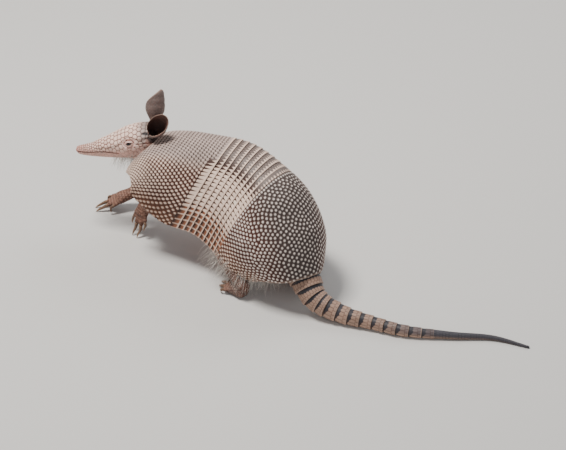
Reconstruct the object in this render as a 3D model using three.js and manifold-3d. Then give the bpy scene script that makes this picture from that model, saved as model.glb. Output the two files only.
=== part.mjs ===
// A nine-banded armadillo at life size, standing on the ground with its nose low, its back arched
// and bent a little to one side, and its tail lying behind it.
// Millimetres, +Z up. The nose points towards -X and the animal's left side faces -Y.
// Its origin is on the ground, under the middle of the whole animal's box.

import * as THREE from "three";
import { mergeVertices } from "three/addons/utils/BufferGeometryUtils.js";
import Module from "manifold-3d";

const wasm = await Module();
wasm.setup();

// ---- Driving dimensions -------------------------------------------------------------------------

const GAP = 0.4; // clear space between neighbouring solids
const CLEARANCE = 1; // how much wider than a solid the cut for it is
const SHELL_THICK = 3; // the two shields
const BAND_THICK = 2.4; // the movable bands
const BAND_LIFT = 1.3; // how far a band's rear edge stands over the next band's front
const BAND_COUNT = 8; // movable bands between the two shields
const BANDS_START = 96; // along the body, where the first band begins
const BANDS_END = 171.5; // where the last band ends and the pelvic shield begins
const BODY_LENGTH = 276; // along the body's axis, from the nape's edge to the tail's root
const YAW_FRONT = 13; // degrees that the trunk's front end turns towards the animal's left
const YAW_REAR = -26; // the same at the tail's root, so the body bends like a bow in plan
const BEND = { from: 91, to: 294 }; // along the body, where it turns from the one to the other
const SQUARENESS = 2.25; // exponent of the trunk's section: 2 is an ellipse, more is boxier
const WRAP_THICK = 6; // of the wrap that clears the shell's space in what lies under it
const NAPE_GAP = 3; // between the scapular shield and the head and neck that come out of it

// The trunk's sections. along: from the nape's edge; axis: height of the section's centre, level with
// the shell's lower edge; half: half width; rise: from the axis to the back's midline; belly: depth
// under the axis; lean: degrees that the section's top tips towards the tail; rim: degrees from the
// midline to the shell's lower edge.
const BODY = [
  { along: -14, axis: 67, half: 55, rise: 55, belly: 34, lean: 6, rim: 76 },
  { along: 0, axis: 88, half: 56, rise: 73, belly: 36, lean: 20, rim: 82 },
  { along: 28, axis: 94, half: 56, rise: 90, belly: 34, lean: 26, rim: 94 },
  { along: 70, axis: 84, half: 56, rise: 109, belly: 30, lean: 24, rim: 101 },
  { along: 120, axis: 75, half: 60, rise: 122, belly: 26, lean: 24, rim: 96 },
  { along: 170, axis: 61, half: 66, rise: 121, belly: 24, lean: 23, rim: 96 },
  { along: 212, axis: 52, half: 71, rise: 112, belly: 22, lean: 24, rim: 99 },
  { along: 245, axis: 42, half: 66, rise: 89, belly: 20, lean: 31, rim: 98 },
  { along: 266, axis: 34, half: 51, rise: 64, belly: 16, lean: 43, rim: 98 },
  { along: 276, axis: 29, half: 41, rise: 53, belly: 14, lean: 56, rim: 99 },
];
// The flesh under the shell: where it starts and ends, its width at the chest's front end as a share,
// and how long it takes to reach full width.
const TRUNK = { from: 16, to: 264, chest: 0.58, rounding: 32 };
// How far the shields' edges curve: the scapular one draws back beside the neck and comes forward at
// the shoulders, and the pelvic one is notched over the tail.
const EDGES = { nape: 2, draw: 12, shoulder: 10, notch: 12 };

const HEAD = {
  yaw: 31, // degrees towards the animal's left, in plan
  pitch: -17, // nose down
  ahead: -13, // from the nape's edge, at the trunk's axis, forward to the ears' line
  height: 153, // of the head's straight axis at the ears' line
  aside: -13, // from the trunk's midline, left positive
};
// The head's sections. ahead: from the ears' line to the nose; half: half width; top and under: from
// the section's centre; centre: its height over the head's straight axis.
const HEAD_SECTIONS = [
  { ahead: -17, half: 18, top: 10, under: 19, centre: -9.5 },
  { ahead: -8, half: 22.5, top: 18, under: 23.5, centre: -6 },
  { ahead: 8, half: 24.5, top: 22, under: 25, centre: -4.5 },
  { ahead: 30, half: 23.5, top: 22, under: 24, centre: -5 },
  { ahead: 48, half: 18.5, top: 19, under: 20.5, centre: -6 },
  { ahead: 66, half: 14, top: 14.5, under: 16.5, centre: -6.6 },
  { ahead: 88, half: 10, top: 10.4, under: 11.4, centre: -6 },
  { ahead: 104, half: 8, top: 7.6, under: 8, centre: -3.8 },
  { ahead: 114, half: 5.4, top: 4.8, under: 5, centre: -1.8 },
];
// The plate of scutes on the head: spread is in degrees to each side of the top, narrowing the share
// by which that falls towards the nose, and rounding how far its two ends are drawn in.
const HEAD_SHIELD = { from: 5, to: 86, lift: 0.9, thick: 1.4, spread: 46, narrowing: 0.1, rounding: 0.8 };
const JAW = { from: 50, to: 105, line: -7, slope: -6, depth: 60 };
const EYE = { ahead: 27.5, aside: 18.7, above: 4.4, radius: 4.8, play: 0.5 };
const EAR = {
  ahead: -7.5,
  aside: 13,
  above: 9,
  length: 51,
  rootRadius: 6.5,
  cupRadius: 14, // at its widest, which it reaches at this share of its length:
  widest: 0.45,
  tipDraw: 0.25, // share by which it draws in again at its tip
  thick: 1.6,
  wrap: 168, // degrees that the cup closes round to each side of its back
  turn: -24, // degrees that its mouth turns forward from straight sideways
};
// back and out: degrees of lean; slant: share of the length by which the mouth's edge is lower than
// the tip.
const EAR_POSE = { left: { back: 34, out: 34, slant: 0.82 }, right: { back: 14, out: 23.5, slant: 0.62 } };
// The neck runs from a place in the chest to one in the head: [ahead, aside, above].
const NECK = { from: [32, -5, 119], to: [-3, 0, -10], rootRadius: 25, headRadius: 21 };

const TAIL = {
  rings: 13, // overlapping rings on the thick part
  ringed: 221, // length of the thick part
  ringStep: 0.09, // how far a ring's rear edge stands over the next one, as a share of the radius
  pieces: [0, 4, 9, 13], // rings at which the tail's lengths begin
  press: 0.4, // depth of the flat that the tail lies on
  around: [14, 12, 10, 8], // facets round each length
};
// The tail's stations. at: length from its root; x and y: place in plan, from the nape's edge; lift:
// how high the tail is held off the ground there.
const TAIL_STATIONS = [
  { at: 0, x: 275, y: 11, radius: 24.5, lift: 28 },
  { at: 20, x: 293, y: 3, radius: 22, lift: 21 },
  { at: 48, x: 319, y: -6, radius: 16.6, lift: 7 },
  { at: 92, x: 359, y: 1, radius: 12.4, lift: 0 },
  { at: 134, x: 399, y: 14, radius: 9.2, lift: 0 },
  { at: 181, x: 444, y: 29, radius: 7.6, lift: 0 },
  { at: 245, x: 499, y: 63, radius: 5, lift: 0 },
  { at: 300, x: 545, y: 95, radius: 3.3, lift: 0 },
  { at: 353, x: 595, y: 111, radius: 1.5, lift: 0 },
];

// Legs: each place is [along the body, to the left of the midline, height]. joints and radii:
// shoulder or hip, elbow or knee, wrist or ankle; heel and knuckle: the ends of the palm or sole;
// tips: where the middle toes end.
const LEGS = {
  front_left: {
    kind: "hand",
    joints: [[62, 26, 90], [51, 32, 66], [14, 10, 48]],
    radii: [20, 15.5, 9.5],
    heel: [14, 10, 48],
    knuckle: [10, 17, 33],
    tips: [9, 22, 17],
  },
  front_right: {
    kind: "hand",
    joints: [[62, -28, 88], [26, -42, 62], [-28, -35, 26]],
    radii: [20, 15, 9.5],
    heel: [-28, -35, 26],
    knuckle: [-47, -22, 17],
    tips: [-61, -13, 9],
  },
  hind_left: {
    kind: "foot",
    joints: [[228, 30, 60], [186, 52, 41], [245, 62, 19]],
    radii: [30, 18, 10.5],
    heel: [252, 62, 8.4],
    knuckle: [220, 64, 7.2],
    tips: [205, 65, 5],
  },
  hind_right: {
    kind: "foot",
    joints: [[228, -30, 60], [194, -50, 42], [250, -56, 19]],
    radii: [30, 18, 10.5],
    heel: [257, -56, 8.4],
    knuckle: [225, -58, 7.2],
    tips: [210, -59, 5],
  },
};
// Shares of the claw's length: its straight root, how far it bows up, and the steepest that it falls.
// taper: its radii as shares of its toe's; sink: how far its tip is pressed into the ground.
const CLAW = { straight: 0.3, bow: 0.06, steepest: 0.96, taper: [0.8, 0.74, 0.5, 0.16], sink: 0.2 };
// Half widths of the palm or sole, and its thickness as a share of its width.
const PAW = {
  hand: { heel: 10.5, knuckle: 12, flatness: 0.72 },
  foot: { heel: 10.5, knuckle: 13.5, flatness: 0.78 },
};
// Toes, from the inner to the outer. aside: from the paw's middle; reach: length as a share of the
// middle toes'; claw: length of the claw; width: half width of the toe; splay: how far its tip
// moves outwards.
const TOES = {
  hand: [
    { aside: -9, reach: 0.5, claw: 13, width: 3, splay: -3 },
    { aside: -3.6, reach: 1, claw: 19, width: 3.7, splay: -1 },
    { aside: 3.6, reach: 1, claw: 19, width: 3.7, splay: 1 },
    { aside: 9.2, reach: 0.5, claw: 12, width: 3, splay: 3 },
  ],
  foot: [
    { aside: -11.5, reach: 0.4, claw: 8, width: 3.2, splay: -4.5 },
    { aside: -6.6, reach: 0.9, claw: 13, width: 4, splay: -2 },
    { aside: 0, reach: 1.15, claw: 15, width: 4.4, splay: 0 },
    { aside: 6.6, reach: 0.9, claw: 13, width: 4, splay: 2 },
    { aside: 11.5, reach: 0.35, claw: 8, width: 3.2, splay: 4.8 },
  ],
};

// ---- Colours -----------------------------------------------------------------------------------

const finish = (color, roughness) => new THREE.MeshStandardMaterial({ color, roughness, metalness: 0 });
const SHELL = finish(0x8d7767, 0.5);
const BAND = finish(0xa38a79, 0.5);
const SKIN = finish(0x8a6350, 0.75);
const FACE = finish(0xc79d8c, 0.65);
const EAR_SKIN = finish(0x5e4a43, 0.7);
const TAIL_SHELL = finish(0x8c7363, 0.55);
const HORN = finish(0xa5866b, 0.45);
const EYE_BLACK = finish(0x120d0b, 0.1);

// ---- Small tools -------------------------------------------------------------------------------

const rad = THREE.MathUtils.degToRad;
const { lerp, smoothstep } = THREE.MathUtils;

// One column of a table of stations, as a smooth curve through its values.
function column(table, by, key, at) {
  const last = table.length - 1;
  let i = 0;
  while (i < last - 1 && at > table[i + 1][by]) i++;
  const slope = (k) => {
    const lo = table[Math.max(k - 1, 0)];
    const hi = table[Math.min(k + 1, last)];
    return (hi[key] - lo[key]) / (hi[by] - lo[by]);
  };
  const width = table[i + 1][by] - table[i][by];
  const t = THREE.MathUtils.clamp((at - table[i][by]) / width, 0, 1);
  const t2 = t * t;
  const t3 = t2 * t;
  return (
    table[i][key] * (2 * t3 - 3 * t2 + 1) +
    table[i + 1][key] * (3 * t2 - 2 * t3) +
    width * (slope(i) * (t3 - 2 * t2 + t) + slope(i + 1) * (t3 - t2))
  );
}

// A closed mesh as a solid, with its faces turned outwards.
function solid(geometry) {
  const bare = geometry.clone();
  bare.deleteAttribute("normal");
  bare.deleteAttribute("uv");
  const merged = mergeVertices(bare, 1e-3);
  const vertices = merged.attributes.position.array;
  const corners = new Uint32Array(merged.index.array);
  const make = () => {
    return new wasm.Manifold(new wasm.Mesh({ numProp: 3, vertProperties: vertices, triVerts: corners }));
  };
  const made = make();
  if (made.volume() > 0) return made;
  for (let i = 0; i < corners.length; i += 3) {
    [corners[i + 1], corners[i + 2]] = [corners[i + 2], corners[i + 1]];
  }
  return make();
}

// Moves every vertex of a three.js geometry to where place says.
function reshaped(geometry, place) {
  const p = geometry.attributes.position;
  for (let i = 0; i < p.count; i++) {
    const to = place(p.getX(i), p.getY(i), p.getZ(i));
    p.setXYZ(i, to.x, to.y, to.z);
  }
  return geometry;
}

// A solid round a path: place(along 0 to 1, turn in radians, reach 0 at the core to 1 at the skin).
function loft(around, steps, place) {
  return solid(
    reshaped(new THREE.CylinderGeometry(1, 1, 1, around, steps), (x, y, z) =>
      place(0.5 - y, Math.atan2(x, z), Math.hypot(x, z)),
    ),
  );
}

// A bent plate: place(along 0 to 1, over -1 to 1, lift 0 inside to 1 outside).
function plate(steps, across, place) {
  return solid(
    reshaped(new THREE.BoxGeometry(1, 1, 1, steps, across, 1), (x, y, z) => place(x + 0.5, 2 * y, z + 0.5)),
  );
}

// A tapering round limb along a smooth curve through its joints.
function limb(joints, radii, around = 12, steps = 10) {
  const curve = new THREE.CatmullRomCurve3(joints, false, "centripetal");
  const frames = curve.computeFrenetFrames(steps);
  const girths = radii.map((radius, i) => ({ at: i / (radii.length - 1), radius }));
  return loft(around, steps, (along, turn, reach) => {
    const i = Math.round(along * steps);
    const radius = column(girths, "at", "radius", along) * reach;
    return curve
      .getPointAt(along)
      .addScaledVector(frames.normals[i], radius * Math.cos(turn))
      .addScaledVector(frames.binormals[i], radius * Math.sin(turn));
  });
}

function ball(centre, radius, detail) {
  const sphere = new THREE.SphereGeometry(radius, detail, detail * 0.7);
  return solid(sphere.translate(centre.x, centre.y, centre.z));
}

// ---- The trunk's own coordinates ---------------------------------------------------------------

const yawAt = (along) => rad(lerp(YAW_FRONT, YAW_REAR, smoothstep(along, BEND.from, BEND.to)));
const SPINE_STEP = 2;

// Where the body's axis is, in plan, and which way is back and left there: short steps from the nape.
function spine(along) {
  const steps = Math.ceil(Math.abs(along) / SPINE_STEP);
  let x = 0;
  let y = 0;
  for (let i = 0; i < steps; i++) {
    const yaw = yawAt((along * (i + 0.5)) / steps);
    x += (Math.cos(yaw) * along) / steps;
    y += (Math.sin(yaw) * along) / steps;
  }
  const yaw = yawAt(along);
  return {
    x,
    y,
    back: new THREE.Vector3(Math.cos(yaw), Math.sin(yaw), 0),
    left: new THREE.Vector3(Math.sin(yaw), -Math.cos(yaw), 0),
  };
}

// A point beside the body: along its axis, to the left of its midline, and above the ground.
function beside([along, aside, height]) {
  const s = spine(along);
  return new THREE.Vector3(s.x, s.y, height).addScaledVector(s.left, aside);
}

const bodyAt = (key, along) => column(BODY, "along", key, along);

// A point on the trunk's section at an angle from the back's midline, left positive. lift moves it out
// from the shell's outer surface. Under the axis the section is as deep as depth says.
function onBody(along, angle, lift, depth = null, reach = 1) {
  const s = spine(along);
  const lean = rad(bodyAt("lean", along));
  const up = new THREE.Vector3(0, 0, Math.cos(lean)).addScaledVector(s.back, Math.sin(lean));
  const power = 2 / SQUARENESS;
  const bulge = (v) => Math.sign(v) * Math.abs(v) ** power;
  const half = (bodyAt("half", along) + lift) * reach;
  const rise = (bodyAt("rise", along) + lift) * reach;
  const level = bulge(Math.cos(angle));
  return new THREE.Vector3(s.x, s.y, bodyAt("axis", along))
    .addScaledVector(s.left, half * bulge(Math.sin(angle)))
    .addScaledVector(up, (level < 0 && depth !== null ? depth * reach : rise) * level);
}

const INNER_LIFT = -SHELL_THICK - BAND_LIFT - GAP; // of the flesh under the shell

// The shields' outer edges, over the back from one rim (-1) to the other (1).
const frontEdge = (over) =>
  EDGES.nape - EDGES.draw * Math.sin(Math.PI * Math.abs(over)) ** 2 + EDGES.shoulder * over ** 6;
const rearEdge = (over) => BODY_LENGTH - EDGES.notch * over ** 4;
const ACROSS = 18; // facets over the back

function shieldPlate(fromEdge, toEdge, steps, grow = 0, thick = SHELL_THICK) {
  return plate(steps, ACROSS, (along, over, lift) => {
    const at = lerp(fromEdge(over) - grow, toEdge(over) + grow, along);
    const rim = rad(bodyAt("rim", at)) + grow / bodyAt("half", at);
    return onBody(at, over * rim, lerp(-thick - grow, grow, lift));
  });
}

const scapular = () => shieldPlate(frontEdge, () => BANDS_START - GAP, 6);
const pelvic = () => shieldPlate(() => BANDS_END, rearEdge, 8);
// The whole shell, wider by the clearance and thick enough to reach into the flesh.
const shellWrap = () => shieldPlate(frontEdge, rearEdge, 16, CLEARANCE, WRAP_THICK);

const BAND_PITCH = (BANDS_END - BANDS_START) / BAND_COUNT;

function band(index) {
  const from = BANDS_START + index * BAND_PITCH;
  return plate(1, ACROSS, (along, over, lift) => {
    const at = from + along * (BAND_PITCH - GAP);
    const proud = lerp(-BAND_LIFT, 0, along);
    return onBody(at, over * rad(bodyAt("rim", at)), proud + lerp(-BAND_THICK, 0, lift));
  });
}

// A grown loft keeps its rings where they are, apart from the two ends, which move out.
const endGrowth = (along, grow) => (along < 0.001 ? -grow : 0) + (along > 0.999 ? grow : 0);

// The flesh under the shell, which draws in at the chest so that its front end is inside the shield.
function trunkLoft(lift, grow) {
  return loft(20, 12, (along, turn, reach) => {
    const at = lerp(TRUNK.from, TRUNK.to, along) + endGrowth(along, grow);
    const drawn = 1 - smoothstep(at, TRUNK.from, TRUNK.from + TRUNK.rounding);
    const share = 1 - (1 - TRUNK.chest) * drawn ** 2;
    return onBody(at, turn, lift, bodyAt("belly", at) + grow, reach * share);
  });
}

const trunkFlesh = (grow = 0) => trunkLoft(INNER_LIFT + grow, grow);
// The flesh and the shell together, which the legs stop under.
const wholeTrunk = () => trunkLoft(CLEARANCE, CLEARANCE);

// ---- The head's own coordinates ----------------------------------------------------------------

const headYaw = rad(HEAD.yaw);
const headFrame = new THREE.Matrix4().makeBasis(
  new THREE.Vector3(-Math.cos(headYaw), -Math.sin(headYaw), 0),
  new THREE.Vector3(Math.sin(headYaw), -Math.cos(headYaw), 0),
  new THREE.Vector3(0, 0, 1),
);
headFrame.multiply(new THREE.Matrix4().makeRotationY(rad(-HEAD.pitch)));
headFrame.setPosition(beside([-HEAD.ahead, HEAD.aside, HEAD.height]));

const onHead = (ahead, aside, above) => new THREE.Vector3(ahead, aside, above).applyMatrix4(headFrame);
const headAt = (key, ahead) => column(HEAD_SECTIONS, "ahead", key, ahead);

// A point of the head's section at an angle from its top, left positive.
function headSection(ahead, angle, lift, reach = 1) {
  const level = Math.cos(angle);
  const height = (headAt(level > 0 ? "top" : "under", ahead) + lift) * reach * level;
  const aside = (headAt("half", ahead) + lift) * reach * Math.sin(angle);
  return onHead(ahead, aside, headAt("centre", ahead) + height);
}

function headFlesh(grow = 0) {
  return loft(16, 12, (along, turn, reach) => {
    const ahead = lerp(HEAD_SECTIONS[0].ahead, HEAD_SECTIONS.at(-1).ahead, along);
    return headSection(ahead + endGrowth(along, grow), turn, grow, reach);
  });
}

// The plate of scutes on the crown, which narrows to the bridge of the nose.
function headShield() {
  return plate(8, 7, (along, over, lift) => {
    const ahead = lerp(HEAD_SHIELD.from, HEAD_SHIELD.to, along);
    const rounding = Math.sqrt(1 - HEAD_SHIELD.rounding * (2 * along - 1) ** 6);
    const spread = rad(HEAD_SHIELD.spread) * (1 - HEAD_SHIELD.narrowing * along ** 2) * rounding;
    return headSection(ahead, over * spread, HEAD_SHIELD.lift + lift * HEAD_SHIELD.thick);
  });
}

// The wedge of the head under the mouth line, with grow all round it.
function underMouth(grow) {
  const length = JAW.to - JAW.from + 2 * grow;
  const wedge = new THREE.BoxGeometry(length, JAW.depth, JAW.depth);
  wedge.translate(0, 0, grow - JAW.depth / 2);
  wedge.rotateY(rad(JAW.slope));
  wedge.translate((JAW.from + JAW.to) / 2, 0, JAW.line);
  return solid(wedge.applyMatrix4(headFrame));
}

// A leaf rolled into a cup: almost a closed tube at its root, with a mouth that slants to the front.
function ear(side, pose) {
  const base = new THREE.Matrix4().makeTranslation(EAR.ahead, side * EAR.aside, EAR.above);
  base.multiply(new THREE.Matrix4().makeRotationX(-side * rad(pose.out)));
  base.multiply(new THREE.Matrix4().makeRotationY(-rad(pose.back)));
  base.premultiply(headFrame);
  return plate(6, 9, (up, over, lift) => {
    const height = EAR.length * (1 - pose.slant * Math.abs(over) ** 1.5) * up;
    const share = height / EAR.length;
    const flare = lerp(EAR.rootRadius, EAR.cupRadius, smoothstep(share, 0, EAR.widest));
    const radius = flare * (1 - EAR.tipDraw * share ** 5) - EAR.thick * (1 - lift);
    const turn = rad(180 - EAR.turn + over * EAR.wrap);
    const point = new THREE.Vector3(radius * Math.cos(turn), side * radius * Math.sin(turn), height);
    return point.applyMatrix4(base);
  });
}

// ---- The tail ----------------------------------------------------------------------------------

const tailAt = (key, at) => column(TAIL_STATIONS, "at", key, at);
const TAIL_LENGTH = TAIL_STATIONS.at(-1).at;
const RING = TAIL.ringed / TAIL.rings;

// A point round the tail: angle from its top, left positive.
function onTail(at, angle, radius) {
  const middle = (s) => {
    return new THREE.Vector3(tailAt("x", s), tailAt("y", s), tailAt("radius", s) + tailAt("lift", s));
  };
  const way = middle(at + 1).sub(middle(at - 1)).normalize();
  const left = new THREE.Vector3(0, 0, 1).cross(way).normalize();
  const up = way.clone().cross(left);
  return middle(at)
    .addScaledVector(left, -radius * Math.sin(angle))
    .addScaledVector(up, radius * Math.cos(angle));
}

// Some of the tail's rings: each widens to its rear edge and steps down to the next ring's front.
function tailRings(first, last, around) {
  const steps = 2 * (last - first) - 1;
  return loft(around, steps, (part, turn, reach) => {
    const edge = Math.round(part * steps);
    const rear = edge % 2;
    const at = RING * (first + (edge + rear) / 2) - rear * GAP;
    const radius = tailAt("radius", at) * (1 + TAIL.ringStep * (rear - 0.5)) + TAIL.press;
    return onTail(at, turn, radius * reach);
  });
}

function tailTip(around) {
  return loft(around, 8, (part, turn, reach) => {
    const at = lerp(TAIL.ringed, TAIL_LENGTH - 1, part);
    return onTail(at, turn, (tailAt("radius", at) + TAIL.press) * reach);
  });
}

// ---- Legs and feet -----------------------------------------------------------------------------

// A leg tapers from its shoulder or hip to a round elbow or knee, and from there to its end.
function legSolid(leg, grow = 0) {
  const [top, bend, end] = leg.joints.map(beside);
  const [upper, middle, lower] = leg.radii.map((radius) => radius + grow);
  const reached = end.clone().sub(bend).setLength(grow).add(end);
  return limb([top, bend], [upper, middle], 9, 1)
    .add(ball(bend, middle, 8))
    .add(limb([bend, reached], [middle, lower], 9, 1));
}

// A paw's own directions: the way its toes point, in space and in plan, and sideways.
function pawWays(leg) {
  const knuckle = beside(leg.knuckle);
  const way = beside(leg.tips).sub(knuckle);
  const level = beside(leg.tips).sub(beside(leg.heel)).setZ(0).normalize();
  const aside = new THREE.Vector3(0, 0, 1).cross(level).multiplyScalar(-Math.sign(leg.joints[0][1]));
  return { knuckle, way, level, aside };
}

function toeTip(paw, toe) {
  return paw.knuckle
    .clone()
    .addScaledVector(paw.way, toe.reach)
    .addScaledVector(paw.aside, toe.aside + toe.splay);
}

// A toe starts inside the palm, between the other toes' roots, and narrows to its tip.
function toeSolid(leg, toe) {
  const paw = pawWays(leg);
  const inPalm = paw.knuckle.clone().addScaledVector(paw.aside, toe.aside);
  const root = beside(leg.heel).lerp(paw.knuckle, 0.6).addScaledVector(paw.aside, toe.aside * 0.7);
  const radii = [1.2, 1.15, 0.85].map((share) => share * toe.width);
  return limb([root, inPalm, toeTip(paw, toe)], radii, 6, 2);
}

// The palm or sole: a flattened pad from the wrist or heel to the knuckles.
function palmSolid(leg) {
  const paw = pawWays(leg);
  const size = PAW[leg.kind];
  const wrist = beside(leg.heel);
  const way = paw.knuckle.clone().sub(wrist);
  const over = paw.aside.clone().cross(way).normalize();
  return loft(8, 2, (along, turn, reach) => {
    const width = lerp(size.heel, size.knuckle, along) * reach;
    return wrist
      .clone()
      .addScaledVector(way, along)
      .addScaledVector(paw.aside, width * Math.sin(turn))
      .addScaledVector(over, width * size.flatness * Math.cos(turn));
  });
}

// A claw goes on from its toe's tip and curves down to the ground.
function clawSolid(leg, toe) {
  const paw = pawWays(leg);
  const way = toeTip(paw, toe).sub(paw.knuckle).addScaledVector(paw.aside, -toe.aside).normalize();
  const root = toeTip(paw, toe).addScaledVector(way, CLEARANCE);
  const drop = Math.min(root.z + CLAW.sink, toe.claw * CLAW.steepest);
  const ahead = Math.sqrt(toe.claw ** 2 - drop ** 2);
  const tip = root.clone().addScaledVector(paw.level, ahead).add(new THREE.Vector3(0, 0, -drop));
  const first = root.clone().addScaledVector(way, toe.claw * CLAW.straight);
  const second = first.clone().lerp(tip, 0.5).addScaledVector(paw.level, toe.claw * CLAW.bow);
  const radii = CLAW.taper.map((share) => share * toe.width);
  return limb([root, first, second, tip], radii, 5, 3);
}

// ---- Putting the animal together ---------------------------------------------------------------

const SHORTEST_EDGE = 0.01;
const GROUND = { across: 3000, deep: 200 };
const slab = new THREE.BoxGeometry(GROUND.across, GROUND.across, GROUND.deep);
const ground = solid(slab.translate(0, 0, -GROUND.deep / 2));
const animal = new THREE.Group();

// Trims a solid level with the ground, closes up its shortest edges and adds it under its name.
function add(name, shape, material) {
  const { numProp, vertProperties, triVerts } = shape.subtract(ground).simplify(SHORTEST_EDGE).getMesh();
  const cut = new THREE.BufferGeometry();
  cut.setAttribute("position", new THREE.BufferAttribute(new Float32Array(vertProperties), numProp));
  cut.setIndex(new THREE.BufferAttribute(triVerts, 1));
  const geometry = mergeVertices(cut, SHORTEST_EDGE);
  const corners = geometry.index.array;
  const kept = [];
  for (let i = 0; i < corners.length; i += 3) {
    const [a, b, c] = corners.subarray(i, i + 3);
    if (a !== b && b !== c && c !== a) kept.push(a, b, c);
  }
  geometry.setIndex(kept);
  const mesh = new THREE.Mesh(geometry, material);
  mesh.name = name;
  animal.add(mesh);
}

// Shell
add("scapular_shield", scapular(), SHELL);
for (let i = 0; i < BAND_COUNT; i++) add(`band_${i + 1}`, band(i), BAND);
add("pelvic_shield", pelvic(), SHELL);
const aroundTrunk = trunkFlesh(CLEARANCE);
const aroundShell = shellWrap();
const underside = wholeTrunk();
const SIDES = { left: 1, right: -1 };

// Head
const aroundHead = headFlesh(CLEARANCE);
const collar = shieldPlate(frontEdge, () => BANDS_START, 16, NAPE_GAP).add(aroundShell);
let head = headFlesh().subtract(collar).subtract(aroundTrunk);
add("lower_jaw", head.intersect(underMouth(-GAP / 2)), FACE);
head = head.subtract(underMouth(GAP / 2));
for (const [name, side] of Object.entries(SIDES)) {
  const centre = onHead(EYE.ahead, side * EYE.aside, EYE.above);
  add(`eye_${name}`, ball(centre, EYE.radius, 9), EYE_BLACK);
  head = head.subtract(ball(centre, EYE.radius + EYE.play, 9));
  add(`ear_${name}`, ear(side, EAR_POSE[name]).subtract(aroundHead).subtract(collar), EAR_SKIN);
}
add("head", head, FACE);
add("head_shield", headShield(), FACE);

// Trunk and neck
add("trunk", trunkFlesh(), SKIN);
const neck = limb([beside(NECK.from), onHead(...NECK.to)], [NECK.rootRadius, NECK.headRadius], 12, 1);
add("neck", neck.subtract(aroundTrunk).subtract(aroundHead).subtract(collar), SKIN);

// Tail
const lengths = ["tail_base", "tail_middle", "tail_end"];
lengths.forEach((name, i) => {
  const rings = tailRings(TAIL.pieces[i], TAIL.pieces[i + 1], TAIL.around[i]);
  add(name, i === 0 ? rings.subtract(aroundTrunk).subtract(aroundShell) : rings, TAIL_SHELL);
});
add("tail_tip", tailTip(TAIL.around[3]), TAIL_SHELL);

// Legs
for (const [name, leg] of Object.entries(LEGS)) {
  add(`leg_${name}`, legSolid(leg).subtract(underside).subtract(aroundShell), SKIN);
  let foot = palmSolid(leg);
  TOES[leg.kind].forEach((toe) => {
    foot = foot.add(toeSolid(leg, toe));
  });
  TOES[leg.kind].forEach((toe, i) => {
    add(`claw_${name}_${i + 1}`, clawSolid(leg, toe), HORN);
  });
  add(`foot_${name}`, foot.subtract(legSolid(leg, CLEARANCE)), SKIN);
}

// The origin: on the ground, under the middle of the box round everything.
const box = new THREE.Box3().setFromObject(animal);
const middle = box.getCenter(new THREE.Vector3());
for (const mesh of animal.children) mesh.geometry.translate(-middle.x, -middle.y, -box.min.z);

export default animal;
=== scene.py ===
"""A nine-banded armadillo at life size: its shell, head, tail, limbs and sparse hairs.

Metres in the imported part's frame: +Z up, the nose towards -X, the animal's left side facing -Y.
The tables below are in millimetres, in the body's own coordinates: along its axis from the nape to
the tail, over its back from one rim of the shell (-1) to the other (1, the animal's left), and lift
out from the shell's outer surface.
"""
import math
from collections import namedtuple

import bmesh
import bpy
import numpy as np
from mathutils import Matrix, Vector


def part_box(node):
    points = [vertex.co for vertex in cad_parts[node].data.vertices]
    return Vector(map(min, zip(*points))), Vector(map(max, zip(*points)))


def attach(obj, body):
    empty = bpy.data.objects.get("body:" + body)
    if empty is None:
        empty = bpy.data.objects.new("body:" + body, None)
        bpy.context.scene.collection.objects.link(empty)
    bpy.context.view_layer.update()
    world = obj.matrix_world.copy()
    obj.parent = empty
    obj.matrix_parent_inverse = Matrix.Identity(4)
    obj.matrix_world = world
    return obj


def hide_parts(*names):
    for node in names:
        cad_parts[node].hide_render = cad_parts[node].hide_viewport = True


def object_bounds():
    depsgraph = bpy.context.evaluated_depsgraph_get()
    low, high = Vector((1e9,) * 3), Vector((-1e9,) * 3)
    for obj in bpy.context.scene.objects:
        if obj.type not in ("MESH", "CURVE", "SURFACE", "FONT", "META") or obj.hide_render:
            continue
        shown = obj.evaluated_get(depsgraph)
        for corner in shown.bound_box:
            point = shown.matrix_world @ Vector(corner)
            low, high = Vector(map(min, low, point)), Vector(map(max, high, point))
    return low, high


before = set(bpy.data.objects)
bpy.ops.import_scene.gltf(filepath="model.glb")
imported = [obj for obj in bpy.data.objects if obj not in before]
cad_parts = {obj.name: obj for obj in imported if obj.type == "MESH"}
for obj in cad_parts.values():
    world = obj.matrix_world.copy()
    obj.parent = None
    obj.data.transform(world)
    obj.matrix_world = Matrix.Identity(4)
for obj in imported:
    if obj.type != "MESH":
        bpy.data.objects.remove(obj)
SIZE_AT_START = [list(v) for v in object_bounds()]

# ---- The part's dimensions, millimetres and degrees ----

SHELL_THICK = 3.0
BAND_THICK = 2.4
BAND_LIFT = 1.3
BAND_COUNT = 8
BANDS_START = 96.0
BANDS_END = 171.5
BAND_PITCH = (BANDS_END - BANDS_START) / BAND_COUNT
BODY_LENGTH = 276.0
YAW_FRONT, YAW_REAR = 13.0, -26.0
BEND = (91.0, 294.0)
SQUARENESS = 2.25
EDGE_NAPE, EDGE_DRAW, EDGE_SHOULDER, EDGE_NOTCH = 2.0, 12.0, 10.0, 12.0

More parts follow.
